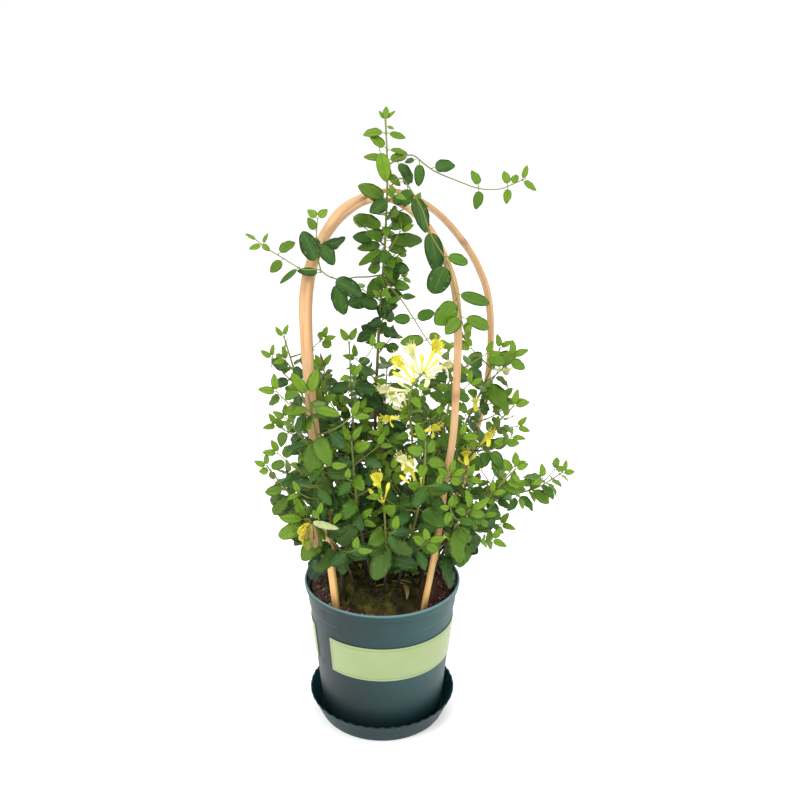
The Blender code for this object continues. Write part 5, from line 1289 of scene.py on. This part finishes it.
class Bundle:
    """Tubes and leaves of one stem, gathered into one mesh with what its finishes read."""

    def __init__(self):
        self.points, self.faces, self.finish, self.marks, self.size = [], [], [], [], 0

    def add(self, points, faces, finish, along, around, age, tone, under):
        count = len(points)
        self.points.append(points)
        self.faces += [[k + self.size for k in face] for face in faces]
        self.finish += [finish] * len(faces)
        self.marks.append(np.stack([np.broadcast_to(value, count)
                                    for value in (along, around, age, tone, under)], axis=1))
        self.size += count

    def leaf(self, points, pattern, age, tone, finish=0):
        """A closed blade whose map runs from base to tip and from edge to edge."""
        t, u, side, faces = pattern
        self.add(points, faces, finish, t, 0.5 + 0.5 * u, age, tone, side < 0)

    def tube(self, places, radii, age, tone, finish=0, sides=8):
        points, faces = skin(places, radii, sides)
        rows = len(places)
        age = np.broadcast_to(age, rows)
        age = np.append(np.repeat(age, sides), age[[0, -1]])
        along = np.append(np.repeat(np.arange(rows), sides), [0, rows - 1]) / rows
        around = np.append(np.tile(np.arange(sides) / sides, rows), [0, 0])
        self.add(points, faces, finish, along, around, age, tone, 0.0)

    def vine(self, points, step, radius, age, tone):
        """A thin stem on a smooth curve, from its radius and age at the foot to those at the tip."""
        places = smooth_points(points, step)[0]
        self.tube(places, np.linspace(*radius, len(places)), np.linspace(*age, len(places)), tone, sides=6)

    def piece(self, title, finishes, nodes, slot):
        made = new_piece(title, np.vstack(self.points), self.faces, finishes[0], nodes)
        for finish in finishes[1:]:
            made.data.materials.append(finish)
        made.data.polygons.foreach_set("material_index", self.finish)
        along, around, age, tone, under = np.vstack(self.marks).T
        for name, values in (("age", age), ("tone", tone), ("under", under)):
            mark(made, name, values)
        lay_chart(made, along, around)


bark = Finish("stem_bark")
age = bark.read("age")
tone = bark.read("tone")
fibre = bark.grain((900.0, 900.0, 90.0), 4.0, 0.65)
tint = bark.mix(age.between(0.15, 0.62), (0.185, 0.230, 0.055), (0.110, 0.058, 0.026))
tint = bark.mix(age.between(0.62, 0.98) * 0.8, tint, (0.098, 0.062, 0.038))
tint = bark.mix(fibre.between(0.5, 0.75) * age.between(0.2, 0.7) * 0.6, tint, (0.27, 0.19, 0.12))
tint = bark.mix(tone.between(0.6, 1.0) * 0.35, tint, (0.19, 0.075, 0.030))
# Painted shade: the stems go nearly black towards the soil, under the foliage.
stem_foot_painted_shade = 1.0 - bark.part("Z").between(0.195, 0.280)
tint = bark.mix(stem_foot_painted_shade * 0.95, tint, (0.009, 0.010, 0.004))
bark_skin = bark.surface(Base_Color=tint, Roughness=0.66 + 0.2 * fibre, Specular_IOR_Level=0.18,
                         Normal=bark.bump(fibre, 0.0007))

blade = Finish("leaf_blade")
along = blade.part("X", blade.chart())
beside = abs(blade.part("Y", blade.chart()) - 0.5) * 2.0
age, tone, under = blade.read("age"), blade.read("tone"), blade.read("under")
tint = blade.mix(tone.between(0.0, 0.5), (0.012, 0.040, 0.006), (0.027, 0.090, 0.004))
tint = blade.mix(tone.between(0.5, 1.0), tint, (0.086, 0.204, 0.003))
tint = blade.mix(1.0 - age.between(0.05, 0.5), tint, (0.150, 0.268, 0.010))
# Painted sheen: older blades are lighter and greyer along the middle, as a broad reflection on the curved
# face.
centre_painted_sheen = 1.0 - beside.between(0.15, 0.70)
tint = blade.mix(centre_painted_sheen * age.between(0.2, 0.7) * 0.34, tint, (0.064, 0.150, 0.030))
# Painted shade: older blades darken towards their edges, beside the painted sheen near the rib.
tint = blade.mix(beside.between(0.50, 0.95) * age.between(0.3, 0.8) * 0.5, tint, (0.012, 0.056, 0.004))
tint = blade.mix(beside.between(0.90, 1.0) * 0.45, tint, (0.130, 0.200, 0.030))
tint = blade.mix((1.0 - along.between(0.0, 0.35)) * 0.3, tint, (0.075, 0.150, 0.012))
tint = blade.mix(blade.noise(160.0, 3.0).between(0.42, 0.68) * 0.3, tint, (0.045, 0.140, 0.010))
sheen = blade.noise(24.0, 2.0).between(0.5, 0.7) * age.between(0.5, 1.0)
tint = blade.mix(sheen * 0.35, tint, (0.018, 0.090, 0.034))
# Painted shade: an age above 1.2, which no real leaf has, darkens the whole blade to a black-green.
tint = blade.mix(age.between(1.2, 2.0) * 0.8, tint, (0.009, 0.026, 0.018))
back = blade.mix(tone, (0.130, 0.195, 0.062), (0.185, 0.265, 0.068))
tint = blade.mix(under * 0.85, tint, back)
rib = 1.0 - beside.between(0.015, 0.075)
slant = blade.maths("SINE", (along * 9.0 - beside * 1.6) * (2 * math.pi))
vein = slant.between(0.55, 1.0) * beside.between(0.05, 0.16) * (1.0 - beside.between(0.20, 0.60))
tint = blade.mix(rib * 0.3, tint, (0.180, 0.300, 0.070))
dull = blade.noise(210.0, 2.0, 0.5)
leaf_skin = blade.surface(Base_Color=tint, Roughness=0.42 + 0.2 * under + 0.12 * dull,
                          Specular_IOR_Level=0.22,
                          Normal=blade.bump((1.0 - rib) * 0.8 - 0.12 * vein + 0.25 * dull, 0.00045))

stems, blooms, space = grow()
fill_in(space, stems)
BLADE = 1
pattern = leaf_pattern(12, 5)
base_pattern = (np.array([0.0, 0.06]), np.zeros(2), np.zeros(2))
for number, stem in enumerate(stems.values()):
    draw = np.random.default_rng(500 + number)
    bundle = Bundle()
    climb = smooth_points(stem.plan["route"], 4.0)[0]
    share = np.linspace(0, 1, len(climb))
    distance = share * stem.main.length
    rough = 1 + 0.06 * np.sin(distance / 3.1) * (1 - share) + 0.05 * np.sin(share * 61 + number)
    knots = np.zeros(len(climb))
    for spot in {leaf.distance for leaf in stem.leaves if leaf.route is stem.main}:
        knots += np.exp(-((distance - spot) / 1.8)**2)
    bundle.tube(climb, np.linspace(*stem.main.radius, len(climb)) * rough + 0.28 * knots.clip(0, 1),
                np.clip(1.05 - 1.1 * share, 0, 1), draw.random())
    for own in stem.plan.get("branches", {}).values():
        root = stem.routes[own["parent"]].at(own["at"])
        bundle.vine([root, *own["route"]], 3.0, own["radius"], (0.28, 0.08), draw.random())
    for route, size in stem.shoots:
        bundle.vine(route.points, 3.0, route.radius, (0.35, 0.05), draw.random())
    sheets = leaf_points(stem.leaves, pattern, draw)
    bases = leaf_points(stem.leaves, base_pattern, draw)
    for leaf, points, base in zip(stem.leaves, sheets, bases):
        age = np.clip(1.25 - 1.15 * leaf.distance / leaf.route.length, 0, 1) * min(1.0, leaf.length / 24)
        # The tone carries painted shade and light: lower leaves are darker as shade, and leaves at the left
        # and the back are darker, those at the right and the front lighter. The seedling's leaves are lifted
        # to a lighter tone instead. Longer leaves are darker, and each leaf's tone also differs at random.
        shade = -0.4 if stem.name == "seedling" else max(0.0, 0.0034 * (325 - leaf.root[2]))
        tone = np.clip(0.68 - shade + 0.0045 * leaf.root[0] - 0.001 * leaf.root[1] - 0.016 * leaf.length
                       + 0.22 * draw.normal(), 0, 1)
        bundle.leaf(points, pattern, age, tone, finish=BLADE)
        middle = 0.5 * (leaf.root + base[0]) + 0.04 * leaf.length * leaf.face
        stalk_radii = np.array([0.62, 0.48, 0.34]) * min(1.0, 0.55 + leaf.length / 60)
        bundle.tube([leaf.root, middle, base[1]], stalk_radii, 0.25, tone, sides=5)
    bundle.piece(stem.name + "_plant", [bark_skin, leaf_skin], [stem.name], "foliage")


# Blooms. A slender hairy tube opens into two lips: a broad upper one with four shallow lobes, rolled
# back, and a narrow lower strap that curls down. Five stamens and a longer style reach out of it. White
# when fresh, yellow a day later. Each has a short green calyx, and some have two closed buds.


def petal(lip, widening, rolling, lobes, pattern):
    """A lip with two skins. Its rib is an arc that rolls back, and it widens from the throat.

    The end is cut by lobes, a cosine in the crosswise place, and the sides cup with its square.
    """
    t, u, skin_side = pattern[:3]
    width = lip.width * widening
    notch = 1 - 0.20 * (0.5 - 0.5 * np.cos(lobes * math.pi * (u + 1))) * t**3 - 0.10 * u**2 * t
    half = 0.5 * width * (0.34 + 0.66 * np.sin(0.5 * math.pi * np.clip(t * 1.25, 0, 1))) * (1 - 0.18 * t**6)
    rib, lift = arc(lip.root, lip.toward, lip.face, lip.curl * rolling / lip.length, lip.length * t * notch)
    cup = 0.20 * width * u**2 * (1 - 0.7 * t) + 0.03 * width * np.sin(6 * u + 5 * t)
    thick = 0.16 * skin_side * (1 - t**8) * (1 - u**8)
    return rib + (u * half)[..., None] * np.cross(lip.face, lip.toward) + (cup + thick)[..., None] * lift


petals = {}
for name, fresh, throat in (("fresh", (0.80, 0.80, 0.40), (0.62, 0.68, 0.20)),
                            ("aged", (0.82, 0.76, 0.06), (0.74, 0.66, 0.04))):
    soft = Finish("petal_" + name)
    age = soft.read("age")
    grain = soft.grain((4.0, 30.0, 1.0), 3.0, 0.5, soft.chart())
    tint = soft.mix(age.between(0.0, 0.6), throat, fresh)
    tint = soft.mix(grain.between(0.45, 0.75) * 0.35, tint, tuple(0.80 * part for part in fresh))
    tint = soft.mix(soft.noise(240.0, 2.0).between(0.5, 0.8) * 0.25, tint, (0.70, 0.70, 0.20))
    petals[name] = soft.surface(Base_Color=tint, Roughness=0.55, Subsurface_Weight=0.12,
                                Subsurface_Scale=0.002, Normal=soft.bump(grain, 0.0003))
anther = Finish("anther")
dusty = anther.noise(1500.0, 2.0)
tint = anther.mix(dusty, (0.52, 0.30, 0.05), (0.80, 0.58, 0.16))
anther_skin = anther.surface(Base_Color=tint, Roughness=0.8, Normal=anther.bump(dusty, 0.0002))

BUDDING = ("bloom_top", "bloom_top_left", "bloom_upright", "bloom_left", "bloom_low_white", "bloom_centre",
           "bloom_heart", "bloom_right")
ANTHER, GREEN = 1, 2
STAMENS_AND_STYLE, STYLE = 6, 2
pattern = leaf_pattern(14, 9, pointed=False)
for number, (name, bloom) in enumerate(blooms.items()):
    draw = np.random.default_rng(900 + number)
    bundle = Bundle()
    body = smooth_points(bloom.tube.points, 1.2)[0]
    share = np.linspace(0, 1, len(body))
    bundle.tube(body, 1.15 + 0.35 * share + 1.3 * share**4, share, 0.5, sides=10)
    for k in range(2 if name in BUDDING else 0):
        way = unit(bloom.toward + (0.75 if k else -0.6) * bloom.side + np.array([0.0, -0.15, 0.25]))
        size = bloom.length * draw.uniform(0.5, 0.72)
        middle = bloom.root + 0.5 * size * way - 0.8 * UP
        line = smooth_points([bloom.root, middle, bloom.root + size * way], 1.6)[0]
        share = np.linspace(0, 1, len(line))
        club = 0.75 + 0.5 * share + 1.15 * np.exp(-((share - 0.84) / 0.16)**2) - 0.5 * share**8
        bundle.tube(line, club, 0.1 + 0.5 * share, 0.5)
    calyx = body[:4]
    bundle.tube(calyx, np.array([1.15, 1.3, 1.15, 0.8])[:len(calyx)], 0.0, 0.2, finish=GREEN)
    mouth = body[-1]
    for lip, widening, rolling, lobes in ((bloom.upper, 1.22, 1.1, 4), (bloom.lower, 1.7, 1.2, 0)):
        points = petal(lip, widening, rolling, lobes, pattern)
        bundle.leaf(points, pattern, 0.3 + 0.7 * pattern[0], 0.5)
    for k in range(STAMENS_AND_STYLE):
        way = unit(bloom.toward + (k - 2.5) * 0.15 * bloom.side + (0.12 - 0.10 * (k % 2)) * bloom.top)
        far = bloom.length * (0.46 if k == STYLE else draw.uniform(0.34, 0.42))
        rise, thick = (3.0, 0.32) if k == STYLE else (2.2, 0.26)
        line = smooth_points([mouth - 3 * bloom.toward, mouth + 0.4 * far * way,
                              mouth + 0.8 * far * way + 0.5 * bloom.top,
                              mouth + far * way + rise * bloom.top], 1.6)[0]
        bundle.tube(line, np.full(len(line), thick), 0.9, 0.5, sides=4)
        tip = line[-1]
        way = unit(tip - line[-2])
        if k == STYLE:
            bundle.tube([tip - 0.3 * way, tip + 0.3 * way, tip + 0.7 * way], (0.3, 0.55, 0.3), 0.9, 0.5,
                        finish=GREEN, sides=6)
        else:
            cross = unit(np.cross(way, bloom.side) + 0.3 * way)
            places = tip + np.linspace(-1.2, 1.2, 5)[:, None] * cross
            bundle.tube(places, (0.16, 0.4, 0.46, 0.4, 0.16), 0.9, 0.5, finish=ANTHER, sides=6)
    kind = "fresh" if bloom.white else "aged"
    bundle.piece(name + "_flower", [petals[kind], anther_skin, leaf_skin], [name], kind + "_petal")


# Withered leaves and litter. Old leaves hang in a bunch at the foot of the left-hand spray, dried tips
# stand on one stem, and dead leaves and bits of twig lie on the root ball. They are the plant's own
# leaves, thin, rolled and drained of green, and stay where they fell.

dead = Finish("dead_leaf")
beside = abs(dead.part("Y", dead.chart()) - 0.5) * 2.0
tone = dead.read("tone")
crinkle = dead.noise(330.0, 4.0, 0.65)
tint = dead.mix(tone.between(0.0, 0.2), (0.40, 0.46, 0.20), (0.60, 0.52, 0.012))
tint = dead.mix(tone.between(0.25, 0.45), tint, (0.16, 0.12, 0.020))
tint = dead.mix(tone.between(0.45, 0.65), tint, (0.27, 0.17, 0.065))
tint = dead.mix(tone.between(0.70, 1.0), tint, (0.085, 0.034, 0.014))
tint = dead.mix(crinkle.between(0.48, 0.7) * 0.45, tint, (0.110, 0.070, 0.015))
tint = dead.mix((1.0 - beside.between(0.02, 0.12)) * 0.4, tint, (0.46, 0.42, 0.16))
dead_skin = dead.surface(Base_Color=tint, Roughness=0.7, Normal=dead.bump(crinkle, 0.0010))


def hang(root, way, length, width, tone, curl=0.9):
    """A limp leaf that turns its face to the front, and its tone."""
    face = np.array([0.1, -1.0, 0.3])
    return Leaf(np.array(root, float), unit(np.array(way)), face, length, width, 2.0, 0.5, curl), tone


BUNCH = (-71.5, -127.0, 305.0)
hanging = [hang(BUNCH, (-0.66, -0.08, -0.70), 25, 11, 0.19),
           hang(BUNCH, (-0.42, -0.12, -0.85), 31, 12, 0.21),
           hang(BUNCH, (-0.25, -0.16, -0.95), 36, 10, 0.30),
           hang(BUNCH, (-0.12, -0.24, -0.95), 38, 10, 0.42),
           hang(BUNCH, (0.02, -0.16, -1.00), 36, 9, 0.85),
           hang(BUNCH, (0.16, -0.22, -0.95), 35, 10, 0.62),
           hang(BUNCH, (0.32, -0.16, -0.90), 28, 8, 0.58),
           hang(BUNCH, (0.85, -0.02, -0.20), 29, 9, 0.0, curl=-0.3),
           hang((-62, -32, 439), (-0.15, -0.20, 0.96), 17, 4, 0.9),
           hang((-62, -32, 438), (0.25, 0.10, 0.95), 14, 4, 0.8)]
draw = np.random.default_rng(77)
fallen = []
for x, y in ((-34, 14), (-41, 22), (-24, 3), (-46, 6), (24, -44), (-12, -50), (46, -20), (36, 40), (-8, 46),
             (-30, 34)):
    leaf = Leaf(np.array([x, y, crown_height(x, y) + 3.2]), aim(draw.uniform(0, 360), 10),
                UP + 0.3 * draw.normal(size=3), draw.uniform(14, 23), draw.uniform(6, 10), 1.5, 0.7,
                draw.uniform(0.9, 1.6))
    fallen.append((leaf, draw.uniform(0.4, 0.8)))
pattern = leaf_pattern(12, 7)
withered, litter = Bundle(), Bundle()
for bundle, entries in ((withered, hanging), (litter, fallen)):
    for points, (leaf, tone) in zip(leaf_points([leaf for leaf, tone in entries], pattern, draw), entries):
        bundle.leaf(points, pattern, 1.0, tone)
holds = stems["left_low_front"].main
nearest = holds.at(min(np.arange(60, holds.length, 2.0), key=lambda s: np.linalg.norm(holds.at(s) - BUNCH)))
withered.vine([nearest, 0.5 * (nearest + BUNCH) + 2 * UP, BUNCH], 2.0, (0.9, 0.6), (1.0, 1.0), 0.42)
for x, y, azimuth, length in ((-38, 20, 70, 30), (-28, 12, 125, 34), (-44, 10, 20, 22), (-33, 4, 95, 26),
                              (26, -40, 190, 16), (34, -34, 200, 20), (-10, -46, 340, 18)):
    foot = np.array([x, y, crown_height(x, y) + 1.5])
    far = foot + length * aim(azimuth, 24)
    middle = 0.5 * (foot + far) + draw.normal(size=3)
    litter.vine([foot, middle, far], 2.0, (0.8, 0.45), (1.0, 1.0), draw.uniform(0.5, 0.66))
withered.piece("withered_leaves", [dead_skin], [], "foliage")
litter.piece("fallen_leaves", [dead_skin], [], "foliage")


# Lone leaves. A leaf painted dark as shade leans over the rim on a long stalk, a pale young one hangs in
# front of the top, and small leaves in threes stand on the thin stalks of the seedling. All are alive and
# green.

lone = Bundle()
pattern = leaf_pattern(16, 9)
over_rim = Leaf(np.array([-69.0, -13.0, 203.0]), unit(np.array([-0.62, -0.30, -0.72])),
                np.array([-0.2, -0.75, 0.62]), 29, 25, 2.5, 0.12, 0.5)
top_leaf = Leaf(np.array([-2.0, -15.0, 660.0]), unit(np.array([0.22, -0.25, -0.95])),
                np.array([0.1, -1.0, 0.1]), 31, 15, 2.0, 0.35, 0.5)
# The rim leaf's age of 2.0 and darkest tone paint it dark as shade.
for leaf, age, tone in ((over_rim, 2.0, 0.0), (top_leaf, -0.2, 1.0)):
    lone.leaf(leaf_points([leaf], pattern, draw)[0], pattern, age, tone, finish=BLADE)
from_stem = stems["left_mid"].main.at(66)
lone.vine([from_stem, (-54.0, -8.0, 207.0), over_rim.surface(0.05, 0.0)], 2.0, (0.9, 0.6), (0.5, 0.5), 0.5)
lone.vine([(-8.0, -8.0, 667.0), (-4.0, -13.0, 665.0), top_leaf.surface(0.05, 0.0)], 1.5, (0.6, 0.45),
          (0.1, 0.1), 0.5)
foot = np.array([27.0, -7.0, crown_height(27.0, -7.0) - 1.0])
pattern = leaf_pattern(8, 5)
for azimuth, rise, length in ((190, 55, 17), (235, 62, 18), (300, 66, 19), (345, 58, 17), (265, 48, 18),
                              (215, 46, 21), (315, 46, 20), (90, 75, 23), (20, 66, 20)):
    top = foot + length * aim(azimuth, rise)
    lone.tube([foot, 0.5 * (foot + top) + UP, top], (0.45, 0.4, 0.35), 0.0, 0.5, sides=5)
    for turn in (-55, 0, 55):
        leaf = Leaf(top, aim(azimuth + turn, 12), UP, 7.5, 5.5, 0.3, 0.15, 0.5)
        points = leaf_points([leaf], pattern, draw)[0]
        lone.leaf(points, pattern, 0.2, draw.uniform(0.6, 1.0), finish=BLADE)
lone.piece("lone_leaves", [bark_skin, leaf_skin], [], "foliage")


# Floor. A plain pale surface for the saucer to stand on. It is not part of the plant.

floor = bpy.data.meshes.new("floor")
floor.from_pydata([(-30, -30, 0), (30, -30, 0), (30, 30, 0), (-30, 30, 0)], [], [(0, 1, 2, 3)])
pale = Finish("floor_pale")
tint = pale.mix(pale.noise(3.0), (0.90, 0.90, 0.90), (0.92, 0.92, 0.92))
floor.materials.append(pale.surface(Base_Color=tint, Roughness=0.9, Emission_Color=(0.9, 0.9, 0.9),
                                    Emission_Strength=0.2))
ground = bpy.data.objects.new("floor", floor)
bpy.context.scene.collection.objects.link(ground)
